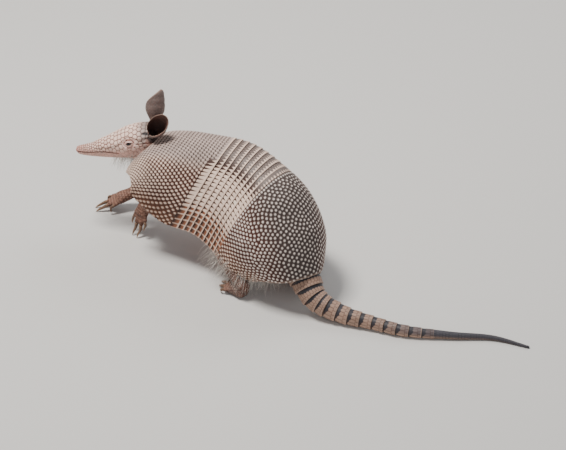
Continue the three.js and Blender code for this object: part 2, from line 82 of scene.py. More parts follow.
BODY = {  # the trunk's sections by place along the body
    "along": (-14, 0, 28, 70, 120, 170, 212, 245, 266, 276),
    "axis": (67, 88, 94, 84, 75, 61, 52, 42, 34, 29),
    "half": (55, 56, 56, 56, 60, 66, 71, 66, 51, 41),
    "rise": (55, 73, 90, 109, 122, 121, 112, 89, 64, 53),
    "belly": (34, 36, 34, 30, 26, 24, 22, 20, 16, 14),
    "lean": (6, 20, 26, 24, 24, 23, 24, 31, 43, 56),
    "rim": (76, 82, 94, 101, 96, 96, 99, 98, 98, 99),
}
HEAD_YAW, HEAD_PITCH, HEAD_AHEAD, HEAD_HEIGHT, HEAD_ASIDE = 31.0, -17.0, -13.0, 153.0, -13.0
HEAD = {
    "ahead": (-17, -8, 8, 30, 48, 66, 88, 104, 114),
    "half": (18, 22.5, 24.5, 23.5, 18.5, 14, 10, 8, 5.4),
    "top": (10, 18, 22, 22, 19, 14.5, 10.4, 7.6, 4.8),
    "under": (19, 23.5, 25, 24, 20.5, 16.5, 11.4, 8, 5),
    "centre": (-9.5, -6, -4.5, -5, -6, -6.6, -6, -3.8, -1.8),
}
EYE_AHEAD, EYE_ASIDE, EYE_ABOVE, EYE_RADIUS = 27.5, 18.7, 4.4, 4.8
TAIL = {
    "at": (0, 20, 48, 92, 134, 181, 245, 300, 353),
    "x": (275, 293, 319, 359, 399, 444, 499, 545, 595),
    "y": (11, 3, -6, 1, 14, 29, 63, 95, 111),
    "radius": (24.5, 22, 16.6, 12.4, 9.2, 7.6, 5, 3.3, 1.5),
    "lift": (28, 21, 7, 0, 0, 0, 0, 0, 0),
}
EAR_AHEAD, EAR_ASIDE, EAR_ABOVE, EAR_LENGTH = -7.5, 13.0, 9.0, 51.0
EAR_ROOT, EAR_CUP, EAR_WIDEST, EAR_DRAW, EAR_THICK = 6.5, 14.0, 0.45, 0.25, 1.6
EAR_WRAP, EAR_TURN = 168.0, -24.0
EAR_POSE = {1: (34.0, 34.0, 0.82), -1: (14.0, 23.5, 0.62)}  # back, out and slant
TAIL_LENGTH = 353.0
RINGED, RINGS = 221.0, 13
RING = RINGED / RINGS
TAIL_PIECES = {"tail_base": (0, 4, 6), "tail_middle": (4, 9, 5), "tail_end": (9, 13, 4)}
LEGS = {
    "front_left": dict(
        kind="hand", joints=((62, 26, 90), (51, 32, 66), (14, 10, 48)), radii=(20, 15.5, 9.5),
        heel=(14, 10, 48), knuckle=(10, 17, 33), tips=(9, 22, 17)),
    "front_right": dict(
        kind="hand", joints=((62, -28, 88), (26, -42, 62), (-28, -35, 26)), radii=(20, 15, 9.5),
        heel=(-28, -35, 26), knuckle=(-47, -22, 17), tips=(-61, -13, 9)),
    "hind_left": dict(
        kind="foot", joints=((228, 30, 60), (186, 52, 41), (245, 62, 19)), radii=(30, 18, 10.5),
        heel=(252, 62, 8.4), knuckle=(220, 64, 7.2), tips=(205, 65, 5)),
    "hind_right": dict(
        kind="foot", joints=((228, -30, 60), (194, -50, 42), (250, -56, 19)), radii=(30, 18, 10.5),
        heel=(257, -56, 8.4), knuckle=(225, -58, 7.2), tips=(210, -59, 5)),
}
Toe = namedtuple("Toe", "aside reach claw width splay")
PAWS = {"hand": (10.5, 12.0, 0.72), "foot": (10.5, 13.5, 0.78)}  # heel, knuckle, flatness
TOES = {
    "hand": (Toe(-9, 0.5, 13, 3, -3), Toe(-3.6, 1, 19, 3.7, -1), Toe(3.6, 1, 19, 3.7, 1),
             Toe(9.2, 0.5, 12, 3, 3)),
    "foot": (Toe(-11.5, 0.4, 8, 3.2, -4.5), Toe(-6.6, 0.9, 13, 4, -2), Toe(0, 1.15, 15, 4.4, 0),
             Toe(6.6, 0.9, 13, 4, 2), Toe(11.5, 0.35, 8, 3.2, 4.8)),
}

MM = 0.001
FLOOR_GAP, SOLE_GAP, HAIR_GAP = 0.05, 0.06, 0.1  # how far what touches the floor stays above it


# ---- Numbers ----

def column(table, key, at):
    """A column of a table of stations as a smooth curve through its values."""
    names = list(table)
    s = np.asarray(table[names[0]], float)
    v = np.asarray(table[key], float)
    last = len(s) - 1
    i = np.clip(np.searchsorted(s, at, side="left") - 1, 0, last - 1)
    lo = np.maximum(np.arange(last + 1) - 1, 0)
    hi = np.minimum(np.arange(last + 1) + 1, last)
    slope = (v[hi] - v[lo]) / (s[hi] - s[lo])
    width = s[i + 1] - s[i]
    t = np.clip((at - s[i]) / width, 0, 1)
    t2, t3 = t * t, t * t * t
    return (v[i] * (2 * t3 - 3 * t2 + 1) + v[i + 1] * (3 * t2 - 2 * t3)
            + width * (slope[i] * (t3 - 2 * t2 + t) + slope[i + 1] * (t3 - t2)))


def smooth(x, low, high):
    t = np.clip((x - low) / (high - low), 0, 1)
    return t * t * (3 - 2 * t)


def fade(x, low, high):
    return 1 - smooth(x, low, high)


def within(x, low, high):
    return (x > low) & (x < high)


def mix(a, b, share):
    """From a to b by the share; colours are mixed by one share for each point."""
    share = np.asarray(share)
    if share.ndim and (np.shape(a)[-1:] == (3,) or np.shape(b)[-1:] == (3,)):
        share = share[..., None]
    return np.asarray(a) * (1 - share) + np.asarray(b) * share


def srgb(red, green, blue):
    """A colour from 0 to 255 a channel, as linear light."""
    c = np.array((red, green, blue)) / 255
    return np.where(c <= 0.04045, c / 12.92, ((c + 0.055) / 1.055) ** 2.4)


def yaw_at(along):
    return np.radians(mix(YAW_FRONT, YAW_REAR, smooth(along, *BEND)))


SPINE_S = np.arange(-80, 341, 1.0)  # from before the neck to behind the hind feet
_yaw = yaw_at(SPINE_S[:-1] + 0.5)
_x = np.concatenate(([0], np.cumsum(np.cos(_yaw))))
_y = np.concatenate(([0], np.cumsum(np.sin(_yaw))))
SPINE_X = _x - np.interp(0, SPINE_S, _x)
SPINE_Y = _y - np.interp(0, SPINE_S, _y)


def vec(x, y, z):
    return np.stack(np.broadcast_arrays(x, y, z), axis=-1).astype(float)


def unit(v):
    return v / np.linalg.norm(v, axis=-1, keepdims=True)


def spine(along):
    """Of places along the body: x and y of its axis, and the ways to the rear and to the left."""
    yaw = yaw_at(along)
    x, y = np.interp(along, SPINE_S, SPINE_X), np.interp(along, SPINE_S, SPINE_Y)
    zero = np.zeros_like(yaw)
    return x, y, vec(np.cos(yaw), np.sin(yaw), zero), vec(np.sin(yaw), -np.cos(yaw), zero)


def beside(place):
    """The point at a place along the body, aside of its axis (left positive) and so high."""
    along, aside, height = place
    x, y, _, left = spine(np.float64(along))
    return np.array((x, y, height)) + left * aside


def on_body(along, angle, lift, depth=None, reach=1.0):
    """Points of the trunk's section, at an angle (radians, left positive) from the back."""
    x, y, back, left = spine(along)
    lean = np.radians(column(BODY, "lean", along))
    up = vec(0, 0, np.cos(lean)) + back * np.sin(lean)[..., None]
    power = 2 / SQUARENESS
    level = np.sign(np.cos(angle)) * np.abs(np.cos(angle)) ** power
    wide = np.sign(np.sin(angle)) * np.abs(np.sin(angle)) ** power
    half = (column(BODY, "half", along) + lift) * reach
    rise = (column(BODY, "rise", along) + lift) * reach
    if depth is not None:
        rise = np.where(level < 0, depth * reach, rise)
    return (vec(x, y, column(BODY, "axis", along)) + left * (half * wide)[..., None]
            + up * (rise * level)[..., None])


def rim_at(along):
    return np.radians(column(BODY, "rim", along))


_hy, _hp = math.radians(HEAD_YAW), math.radians(-HEAD_PITCH)
_ahead = np.array((-math.cos(_hy), -math.sin(_hy), 0))
HEAD_LEFT = np.array((math.sin(_hy), -math.cos(_hy), 0))
HEAD_FORWARD = _ahead * math.cos(_hp) + np.array((0, 0, -math.sin(_hp)))
HEAD_UP = _ahead * math.sin(_hp) + np.array((0, 0, math.cos(_hp)))
HEAD_PLACE = beside((-HEAD_AHEAD, HEAD_ASIDE, HEAD_HEIGHT))


def on_head(ahead, aside, above):
    outer = np.multiply.outer
    return (HEAD_PLACE + outer(ahead, HEAD_FORWARD) + outer(aside, HEAD_LEFT)
            + outer(above, HEAD_UP))


def to_head(points):
    """Ahead, aside and above of points given in millimetres."""
    rel = points - HEAD_PLACE
    return rel @ HEAD_FORWARD, rel @ HEAD_LEFT, rel @ HEAD_UP


def head_section(ahead, angle, lift, reach=1.0):
    level = np.cos(angle)
    depth = np.where(level > 0, column(HEAD, "top", ahead), column(HEAD, "under", ahead))
    above = column(HEAD, "centre", ahead) + (depth + lift) * reach * level
    return on_head(ahead, (column(HEAD, "half", ahead) + lift) * reach * np.sin(angle), above)


def tail_middle(at):
    lift = column(TAIL, "radius", at) + column(TAIL, "lift", at)
    return vec(column(TAIL, "x", at), column(TAIL, "y", at), lift)


def on_tail(at, angle, radius):
    way = unit(tail_middle(at + 1) - tail_middle(at - 1))
    left = unit(np.cross((0, 0, 1), way))
    up = np.cross(way, left)
    return (tail_middle(at) - left * (radius * np.sin(angle))[..., None]
            + up * (radius * np.cos(angle))[..., None])


_low, _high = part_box("eye_left")
_eye = np.array((_low.x + EYE_RADIUS * MM, (_low.y + _high.y) / 2, (_low.z + _high.z) / 2)) / MM
ORIGIN = _eye - on_head(EYE_AHEAD, EYE_ASIDE, EYE_ABOVE)


def nearest(points, centres, count=3):
    """Distances to each point's nearest centres, and which these are."""
    dist = np.empty((len(points), count))
    which = np.empty((len(points), count), int)
    norms = (centres ** 2).sum(1)
    for i in range(0, len(points), 8000):
        p = points[i:i + 8000]
        d = (p ** 2).sum(1)[:, None] + norms - 2 * p @ centres.T
        near = np.argpartition(d, min(count, d.shape[1] - 1), axis=1)[:, :count]
        d = np.take_along_axis(d, near, axis=1)
        order = np.argsort(d, axis=1)
        which[i:i + 8000] = np.take_along_axis(near, order, axis=1)
        dist[i:i + 8000] = np.sqrt(np.maximum(np.take_along_axis(d, order, axis=1), 0))
    return dist, which


def cells(points, centres):
    """Distances to a cell's centre, its nearest edge and its corner, and which cell it is."""
    dist, which = nearest(points, centres)
    edge = []
    for k in (1, 2):
        apart = np.linalg.norm(centres[which[:, 0]] - centres[which[:, k]], axis=1)
        edge.append((dist[:, k] ** 2 - dist[:, 0] ** 2) / (2 * np.maximum(apart, 0.1)))
    return dist[:, 0], np.minimum(*edge), np.maximum(*edge), which[:, 0]


def wobble(points, pitch, seed):
    """A smooth uneven field of about -1 to 1, with swells about the pitch across."""
    total = np.zeros(len(points))
    rng = np.random.default_rng(seed)
    for _ in range(6):
        way = unit(rng.normal(size=3)) * 2 * math.pi / (pitch * rng.uniform(0.7, 1.5))
        total += np.sin(points @ way + rng.uniform(0, 6.28))
    return total / 3


def uneven(colour, points, share, pitch, seed):
    return colour * (1 + share * wobble(points, pitch, seed))[:, None]


# ---- Meshes ----

def coords(mesh):
    co = np.empty(len(mesh.vertices) * 3, np.float32)
    mesh.vertices.foreach_get("co", co)
    return co.reshape(-1, 3).astype(float)


def set_coords(mesh, millimetres):
    co = ((millimetres + ORIGIN) * MM).astype(np.float32)
    mesh.vertices.foreach_set("co", co.ravel())
    mesh.update()


def paint(mesh, colour):
    layer = mesh.color_attributes.new("paint", "FLOAT_COLOR", "POINT")
    rgba = np.ones((len(mesh.vertices), 4), np.float32)
    rgba[:, :3] = np.clip(colour, 0, 1)
    layer.data.foreach_set("color", rgba.ravel())


def into_scene(name, data):
    obj = bpy.data.objects.new(name, data)
    bpy.context.scene.collection.objects.link(obj)
    return obj


def piece(name, mesh, material, nodes=()):
    """A finished piece of the model, in place of the part's nodes."""
    obj = into_scene(name, mesh)
    mesh.materials.append(material)
    mesh.polygons.foreach_set("use_smooth", [True] * len(mesh.polygons))
    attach(obj, "root")
    if nodes:
        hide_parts(*nodes)
    return obj


def finished(obj):
    """The mesh of a helper object with its modifiers applied; the helper goes."""
    graph = bpy.context.evaluated_depsgraph_get()
    made = bpy.data.meshes.new_from_object(obj.evaluated_get(graph))
    bpy.data.objects.remove(obj)
    return made


def above_floor(place, gap=FLOOR_GAP):
    place[:, 2] = np.maximum(place[:, 2], gap)
    return place


def from_bmesh(bm, name):
    bmesh.ops.recalc_face_normals(bm, faces=bm.faces[:])
    mesh = bpy.data.meshes.new(name)
    bm.to_mesh(mesh)
    bm.free()
    return mesh


PLATE_FACES = {  # faces along and across each plate, and the cuts of each outer face's edges
    "scapular_shield": (18, 56, 7), "pelvic_shield": (22, 56, 7), "band": (3, 70, 7),
    "head_shield": (14, 14, 11), "ear": (30, 44, 1),
}


def plate(name):
    """A closed plate, fine outside and coarse inside.

    Gives the mesh, and of its vertices the place along (0 to 1) and over (-1 to 1) the plate and
    whether they are outside (1) or inside (0).
    """
    rows, columns, cuts = PLATE_FACES[name]
    bm = bmesh.new()
    bmesh.ops.create_grid(bm, x_segments=rows, y_segments=columns, size=0.5)
    raised = bmesh.ops.extrude_face_region(bm, geom=bm.faces[:])["geom"]
    verts = [g for g in raised if isinstance(g, bmesh.types.BMVert)]
    bmesh.ops.translate(bm, verts=verts, vec=(0, 0, 1))
    outer = dict.fromkeys(e for g in raised if isinstance(g, bmesh.types.BMFace) for e in g.edges)
    bmesh.ops.subdivide_edges(bm, edges=list(outer), cuts=cuts, use_grid_fill=True)
    mesh = from_bmesh(bm, name)
    co = coords(mesh)
    return mesh, co[:, 0] + 0.5, co[:, 1] * 2, co[:, 2]


def tube(around, steps):
    """A closed tube as a bmesh; its z is 0 to 1 from end to end and its xy a circle."""
    bm = bmesh.new()
    bmesh.ops.create_uvsphere(bm, u_segments=around, v_segments=steps, radius=1)
    return bm


def new_tube(name, around, steps):
    """A closed tube.

    Gives the mesh, and of its vertices the place along (0 to 1), the turn round it in radians and
    the reach, which is 0 at an end's middle and 1 elsewhere.
    """
    mesh = from_bmesh(tube(around, steps), name)
    co = coords(mesh)
    along = np.arccos(np.clip(co[:, 2], -1, 1)) / math.pi
    reach = (np.hypot(co[:, 0], co[:, 1]) > 1e-4).astype(float)
    return mesh, along, np.arctan2(co[:, 1], co[:, 0]), reach


def finish_plate(mesh, is_outer, surface, lift, under, colour, under_colour):
    """Lays a plate's outside and inside over a surface, and paints them."""
    set_coords(mesh, surface(np.where(is_outer > 0.5, lift, under)))
    paint(mesh, np.where(is_outer[:, None] > 0.5, colour, under_colour))


# ---- Materials ----

WEATHERING_INPUTS = ("Blotch Scale", "Blotch", "Grain Scale", "Grain", "Pebble Scale", "Pebble",
                     "Relief", "Smoothest", "Roughest")


def socket(tree, name, kind, way="INPUT"):
    tree.interface.new_socket(name, in_out=way, socket_type="NodeSocket" + kind)


def add(tree, kind, inputs, **settings):
    """A new node, with inputs that are values or other nodes' outputs; gives its outputs."""
    node = tree.nodes.new("ShaderNode" + kind)
    for key, value in settings.items():
        setattr(node, key, value)
    for key, value in inputs.items():
        if isinstance(value, bpy.types.NodeSocket):
            tree.links.new(value, node.inputs[key])
        else:
            node.inputs[key].default_value = value
    return node.outputs


def weathering():
    """Uneven colour, roughness and fine relief for a painted surface."""
    tree = bpy.data.node_groups.new("Weathering", "ShaderNodeTree")
    socket(tree, "Colour", "Color")
    for name in WEATHERING_INPUTS:
        socket(tree, name, "Float")
    socket(tree, "Colour", "Color", "OUTPUT")
    socket(tree, "Roughness", "Float", "OUTPUT")
    socket(tree, "Normal", "Vector", "OUTPUT")
    into, out = tree.nodes.new("NodeGroupInput").outputs, tree.nodes.new("NodeGroupOutput")
    where = add(tree, "TexCoord", {})["Object"]

    def noise(scale, detail):
        inputs = {"Vector": where, "Scale": into[scale], "Detail": detail}
        return add(tree, "TexNoise", inputs)["Fac"]

    def sums(operation, a, b):
        return add(tree, "Math", {0: a, 1: b}, operation=operation)[0]

    blotch, grain = noise("Blotch Scale", 5.0), noise("Grain Scale", 3.0)
    pebble = add(tree, "TexVoronoi", {"Vector": where, "Scale": into["Pebble Scale"]})
    dome = sums("SUBTRACT", 1.0, pebble["Distance"])
    shade = sums("MULTIPLY", sums("SUBTRACT", blotch, 0.5), into["Blotch"])
    speck = sums("MULTIPLY", sums("SUBTRACT", grain, 0.5), into["Grain"])
    hollow = sums("MULTIPLY", sums("SUBTRACT", dome, 0.55), into["Pebble"])
    light = sums("ADD", sums("ADD", sums("ADD", shade, speck), hollow), 1.0)
    colour = add(tree, "VectorMath", {0: into["Colour"], "Scale": light}, operation="SCALE")
    rough = add(tree, "MapRange", {"Value": blotch, "From Min": 0.3, "From Max": 0.7,
                                   "To Min": into["Smoothest"], "To Max": into["Roughest"]})
    pebbled = sums("MULTIPLY", dome, sums("MULTIPLY", into["Pebble"], 2.5))
    bump = add(tree, "Bump", {"Distance": into["Relief"], "Height": sums("ADD", grain, pebbled)})
    for name, value in (("Colour", colour["Vector"]), ("Roughness", rough["Result"]),
                        ("Normal", bump["Normal"])):
        tree.links.new(value, out.inputs[name])
    return tree


WEATHERING = weathering()


def material(name, blotch, grain, relief, rough, specular, pebble=(400.0, 0.0), sheen=0.0,
             coat=0.0, subsurface=0.0):
    """A painted, weathered surface.

    Its blotches, grain and pebbles each have a scale and a share, and rough is from and to.
    """
    made = bpy.data.materials.new(name)
    made.use_nodes = True
    tree = made.node_tree
    shader = tree.nodes["Principled BSDF"]
    inputs = dict(zip(WEATHERING_INPUTS, (*blotch, *grain, *pebble, relief, *rough)))
    inputs["Colour"] = add(tree, "Attribute", {}, attribute_name="paint")["Color"]
    group = add(tree, "Group", inputs, node_tree=WEATHERING)
    for output, key in (("Colour", "Base Color"), ("Roughness", "Roughness"),
                        ("Normal", "Normal")):
        tree.links.new(group[output], shader.inputs[key])
    values = {"Specular IOR Level": specular, "Sheen Weight": sheen, "Coat Weight": coat,
              "Coat Roughness": 0.3}
    if subsurface:
        values.update({"Subsurface Weight": subsurface, "Subsurface Scale": 0.5,
                       "Subsurface Radius": (0.004, 0.0015, 0.001)})
    for key, value in values.items():
        shader.inputs[key].default_value = value
    return made


HORN_SHELL = material("horny shell", (45.0, 0.3), (1600.0, 0.3), 0.00018, (0.36, 0.6), 0.3)
HORN_BANDS = material("horny bands", (70.0, 0.25), (2000.0, 0.3), 0.00015, (0.36, 0.58), 0.3)
HORN_TAIL = material("horny tail", (80.0, 0.3), (1800.0, 0.3), 0.0002, (0.38, 0.62), 0.35)
HORN_FACE = material("face scutes", (90.0, 0.22), (2400.0, 0.25), 0.0001, (0.42, 0.62), 0.4)
SKIN = material("skin", (110.0, 0.3), (2200.0, 0.25), 0.00028, (0.5, 0.72), 0.35,
                pebble=(520.0, 0.22), subsurface=0.12)
CLAW_HORN = material("claw horn", (240.0, 0.35), (3000.0, 0.2), 0.0001, (0.28, 0.45), 0.5,
                     coat=0.1)
EYE_GLOSS = material("wet eye", (300.0, 0.1), (900.0, 0.0), 0.0, (0.08, 0.12), 0.4, coat=0.15)
HAIR = material("sparse hair", (150.0, 0.3), (900.0, 0.1), 0.0, (0.45, 0.6), 0.5, sheen=0.2)

# Colours named by where they are: mostly the living animal's own, but the hollow before each ear is
# painted shade, and the legs, claws and the pelvic shield's top are darkened partly as painted
# shade.
CREAM = srgb(242, 214, 196)
CREAM_PINK = srgb(222, 190, 170)
PALE_DOT = srgb(242, 228, 218)
RED_BROWN = srgb(106, 54, 38)
DARK_BROWN = srgb(56, 28, 20)
RUST = srgb(162, 100, 68)
GREY_TOP = srgb(176, 157, 149)
GREY_DARK = srgb(92, 80, 76)
PIT = srgb(62, 48, 42)
BLUE_BLACK = srgb(52, 50, 55)
TAN_PINK = srgb(178, 145, 126)
FLESH_PINK = srgb(224, 178, 164)
FLESH_RED = srgb(150, 104, 90)
# partly painted shade: the legs' brown, also the skin's ground, is darker than their own brownish
# pink, for the shade under the body
LEG_BROWN_SHADED = srgb(100, 66, 54)
LEG_SCALE = srgb(160, 122, 104)
LID_PINK = srgb(240, 202, 190)
EAR_RIM = srgb(168, 140, 126)
EAR_ROOT_DARK = srgb(58, 42, 38)
EAR_GREY = srgb(108, 91, 86)
EAR_DEEP = srgb(62, 42, 38)
EAR_FLESH = srgb(112, 78, 68)
# painted shade: the dark of the hollow before each ear
EAR_HOLLOW_SHADE = srgb(38, 32, 34)
LID_EDGE = srgb(70, 40, 34)
MOUTH_DARK = srgb(58, 30, 26)
NOSE_PINK = srgb(198, 122, 112)
NOSTRIL_DARK = srgb(40, 22, 20)
EYE_BROWN = srgb(26, 16, 14)
EYE_WHITE = srgb(70, 50, 44)
IRIS = srgb(34, 20, 15)
PUPIL = srgb(5, 4, 4)
# partly painted shade: the claws' tan and dark brown are darker and browner than their own
# yellowish horn, for the shade they stand in
CLAW_TAN = srgb(150, 118, 94)
CLAW_DARK = srgb(78, 54, 44)
HAIR_ROOT = srgb(164, 148, 136)
HAIR_TIP = srgb(238, 232, 222)


# ---- The shell ----

SCUTE = 6.0  # millimetres between the middles of the pelvic shield's scutes
SCAPULAR_SCUTES = 48
BAND_SCUTES = 49
SCAPULAR_ROWS = (-14.2, BANDS_START - 2, 5.2)  # the first row, the last and their pitch
PELVIC_ROWS = (184.2, 279.0)  # the first row and the last
SCAPULAR_SUNK, PELVIC_SUNK, STRIP_SUNK, LIP_SUNK = 1.15, 1.05, 0.55, 1.0  # below the surface
DOME = 2.9  # a round scute's radius
OVERLAP, TUCK = 0.9, 0.3  # how far a plate's rear edge reaches on, and its front edge starts early
REAR_STRIP = 85.4  # where the scapular shield's last, long scutes begin
SCAPULAR_RIM = (BANDS_START - 1.6, BANDS_START - 0.8)  # where its pale rear rim begins
FIRST_ROW_END = 181.0  # where the pelvic shield's first row, which is like a band, ends


def across_back(along, count):
    """Places from rim to rim over the back."""
    at = np.full(count, float(along))
    return on_body(at, np.linspace(-1, 1, count) * rim_at(at), 0.0)


def arc_at(along):
    """The way from rim to rim over the back."""
    return np.linalg.norm(np.diff(across_back(along, 61), axis=0), axis=1).sum()


def spread_out(points, spacing, rounds):
    """Moves points apart until most are about one spacing from their neighbours."""
    points = points.copy()
    for _ in range(rounds):
        dist, which = nearest(points, points, 7)
        push = np.zeros_like(points)
        for k in range(1, 7):
            way = points - points[which[:, k]]
            lack = np.clip(spacing - dist[:, k], 0, None) / np.maximum(dist[:, k], 0.3)
            push += way * lack[:, None]
        points += push * 0.22
    return points


def even_rows(first, last, pitch, count):
    """The middles of scutes in staggered rows of one number, a pitch apart on the flank."""
    fine = np.linspace(first, last, 400)
    flank = on_body(fine, 0.55 * rim_at(fine), 0.0)
    length = np.concatenate(([0], np.cumsum(np.linalg.norm(np.diff(flank, axis=0), axis=1))))
    rows = []
    for k, at in enumerate(np.interp(np.arange(0, length[-1], pitch), length, fine)):
        along = np.full(count, float(at))
        over = (np.arange(count) + 0.5 * (k % 2) + 0.25) / count * 2 - 1
        rows.append(on_body(along, over * rim_at(along), 0.0))
    return np.concatenate(rows)


def shield_scutes(first, last, spacing):
    """The middles of scutes laid as close as their spacing lets them, from the front back."""
    kept = across_back(first, int(arc_at(first) / spacing))
    for at in np.arange(first + 0.7 * spacing, last, 0.5):
        row = across_back(at, int(arc_at(at) / 0.6))
        row = row[nearest(row, kept, 1)[0][:, 0] >= 0.95 * spacing]
        while len(row):
            kept = np.concatenate((kept, row[:1]))
            row = row[np.linalg.norm(row - row[0], axis=1) >= 0.95 * spacing]
    return spread_out(kept, spacing, 5)


def oval(points, along, centres, which, stretch):
    """Distance to a scute's middle, drawn out along the body by the stretch."""
    rel = points - centres[which]
    lengthwise = (rel * spine(along)[2]).sum(1)
    return np.sqrt(np.maximum((rel ** 2).sum(1) - stretch * lengthwise ** 2, 0))


def front_edge(over):
    return EDGE_NAPE - EDGE_DRAW * np.sin(np.pi * np.abs(over)) ** 2 + EDGE_SHOULDER * over ** 6


def rear_edge(over):
    return BODY_LENGTH - EDGE_NOTCH * over ** 4


def shades(count, seed, spread):
    return 1 + np.random.default_rng(seed).normal(0, spread, count)


def row_place(over):
    """Where a place over the back is in a row of scutes, which stand at the whole numbers."""
    return (over + 1) / 2 * BAND_SCUTES


def strip(share, over, pale=1.0):
    """A row of cream scutes across the back, from its front (share 0) to its rear edge (1).

    They are small triangles on top, broad trapezoids on the flank and thin lines low down. Gives
    1 on them and 0 between, the distance to their middles, and the row's colour.
    """
    count = row_place(over)
    side = np.abs(over)
    off = np.abs(count - np.round(count))
    flank, low = smooth(side, 0.26, 0.46), smooth(side, 0.72, 0.9)
    starts = mix(0.42, -0.12, flank)
    front_half = mix(mix(-0.06, 0.24, flank), 0.07, low)
    rear_half = mix(mix(0.36, 0.49, flank), 0.12, low)
    wide = mix(front_half, rear_half, np.clip((share - starts) / (0.92 - starts), 0, 1))
    cream = smooth(wide - off, -0.07, 0.07)
    return cream, off, mix(row_ground(share, side), row_raised(side) * pale, cream)


def row_ground(share, side):
    """What shows between a row's cream scutes: grey on top, dark on the flank, rusty low down."""
    low_colour = mix(DARK_BROWN * 1.2, RUST * 0.85, smooth(share, 0.1, 0.8))
    ground = mix(GREY_TOP * 0.4, DARK_BROWN, smooth(side, 0.12, 0.4))
    return mix(ground, low_colour, smooth(side, 0.66, 0.85))


def row_raised(side):
    raised = mix(CREAM * 0.85, CREAM * 1.04, smooth(side, 0.2, 0.45))
    return mix(raised, CREAM_PINK, smooth(side, 0.72, 0.95))


def laid(along, over):
    """Points on the shell's outer surface."""
    return on_body(along, over * rim_at(along), np.zeros_like(along))


def finish_shell(name, mesh, is_outer, along, over, lift, under, colour, material,
                 shade=0.7):
    """Lays a shell plate over the body, with a brown underside, and makes it a piece."""
    angle = over * rim_at(along)
    finish_plate(mesh, is_outer, lambda at: on_body(along, angle, at), lift, under, colour,
                 RED_BROWN * shade)
    return piece(name, mesh, material, [name])


def scapular_shield():
    mesh, u, over, is_outer = plate("scapular_shield")
    front = front_edge(over)
    along = mix(front, BANDS_START + OVERLAP, u)
    flat = laid(along, over)
    centres = even_rows(*SCAPULAR_ROWS, SCAPULAR_SCUTES)
    _, edge, corner, which = cells(flat, centres)
    side = np.abs(over)
    flank, low = smooth(side, 0.28, 0.5), smooth(side, 0.8, 0.97)
    d = oval(flat, along, centres, which, 0.45 * smooth(side, 0.5, 0.75))
    dome = smooth(edge, 0.1, 1.3)
    round_dome = np.clip(1 - (d / DOME) ** 2, 0, 1)
    pit = fade(corner, 0.5, 1.75)
    lift = -SCAPULAR_SUNK + mix(0.55 * dome, 0.35 * dome + 0.95 * round_dome, flank) - 0.35 * pit
    ground = mix(mix(GREY_TOP * 0.7, RED_BROWN * 0.62, flank), RUST * 0.38, low)
    raised = mix(mix(GREY_TOP * 1.15, CREAM * 1.05, flank), CREAM_PINK, low)
    raised = raised * shades(len(centres), 3, 0.06)[which][:, None]
    bright = mix(smooth(edge, 0.1, 0.9), fade(d, 0.6, mix(2.6, 2.4, low)), flank)
    colour = mix(mix(ground, raised, bright), PIT, pit * mix(1.0, 0.6, flank))
    # the strip of long scutes at the rear edge, behind a dark line
    rear = smooth(along, REAR_STRIP - 0.4, REAR_STRIP + 0.4) * smooth(side, 0.26, 0.3)
    share = (along - REAR_STRIP) / (BANDS_START - REAR_STRIP)
    cream, _, strip_colour = strip(share, over)
    line = fade(np.abs(along - REAR_STRIP), 0.4, 1.2) * smooth(side, 0.15, 0.4)
    rim = smooth(along, *SCAPULAR_RIM)
    colour = mix(mix(colour, strip_colour, rear), DARK_BROWN, line * 0.85)
    lift = mix(lift, -STRIP_SUNK + 0.3 * cream + 0.3 * rim, rear) - 0.45 * line
    colour = mix(colour, CREAM * 1.05, rim * 0.85)
    lift = lift + 0.3 * rim * (1 - rear)
    # the front edge thins and pales
    lip = smooth(along - front, 2.2, 0.0)
    lift = lift - LIP_SUNK * lip ** 2
    colour = mix(colour, CREAM_PINK * 0.8, 0.5 * lip)
    colour = uneven(colour, flat, 0.09, 42, 1)
    return finish_shell("scapular_shield", mesh, is_outer, along, over, lift, -SHELL_THICK, colour,
                        HORN_SHELL)


def band(index):
    mesh, u, over, is_outer = plate("band")
    start = BANDS_START + index * BAND_PITCH
    along = start + mix(-TUCK, BAND_PITCH + OVERLAP, u)
    side = np.abs(over)
    share = np.clip((along - start - OVERLAP) / (BAND_PITCH - OVERLAP), 0, 1.1)
    which = np.round(row_place(over)).astype(int)
    pale = shades(BAND_SCUTES + 2, 20 + index, 0.06)[which][:, None]
    cream, off, colour = strip(share, over, pale)
    rear_line = smooth(share, 0.86, 0.93)
    mark = fade(off, 0.08, 0.3) * fade(side, 0.2, 0.5)
    mark = mark * fade(share, 0.25, 0.5)
    colour = mix(colour, PIT, 0.6 * mark)
    colour = mix(colour, CREAM, rear_line * mix(0.75, 0.95, smooth(side, 0.1, 0.4)))
    # painted shade: each band's front, under the rear edge of the band before it, is painted dark
    colour = mix(colour, DARK_BROWN * 0.6, 0.85 * fade(share, 0.03, 0.17))
    lift = mix(-BAND_LIFT - 0.35, -0.28, np.clip((along - start) / BAND_PITCH, 0, 1.1))
    lift = lift + 0.34 * cream * (1 - rear_line) - 0.1 + 0.3 * rear_line
    lift = lift - 0.7 * smooth(share, 1.02, 1.10)
    colour = uneven(colour, laid(along, over), 0.08, 36, 5)
    return finish_shell(f"band_{index + 1}", mesh, is_outer, along, over, lift,
                        lift - BAND_THICK, colour, HORN_BANDS, 0.6)


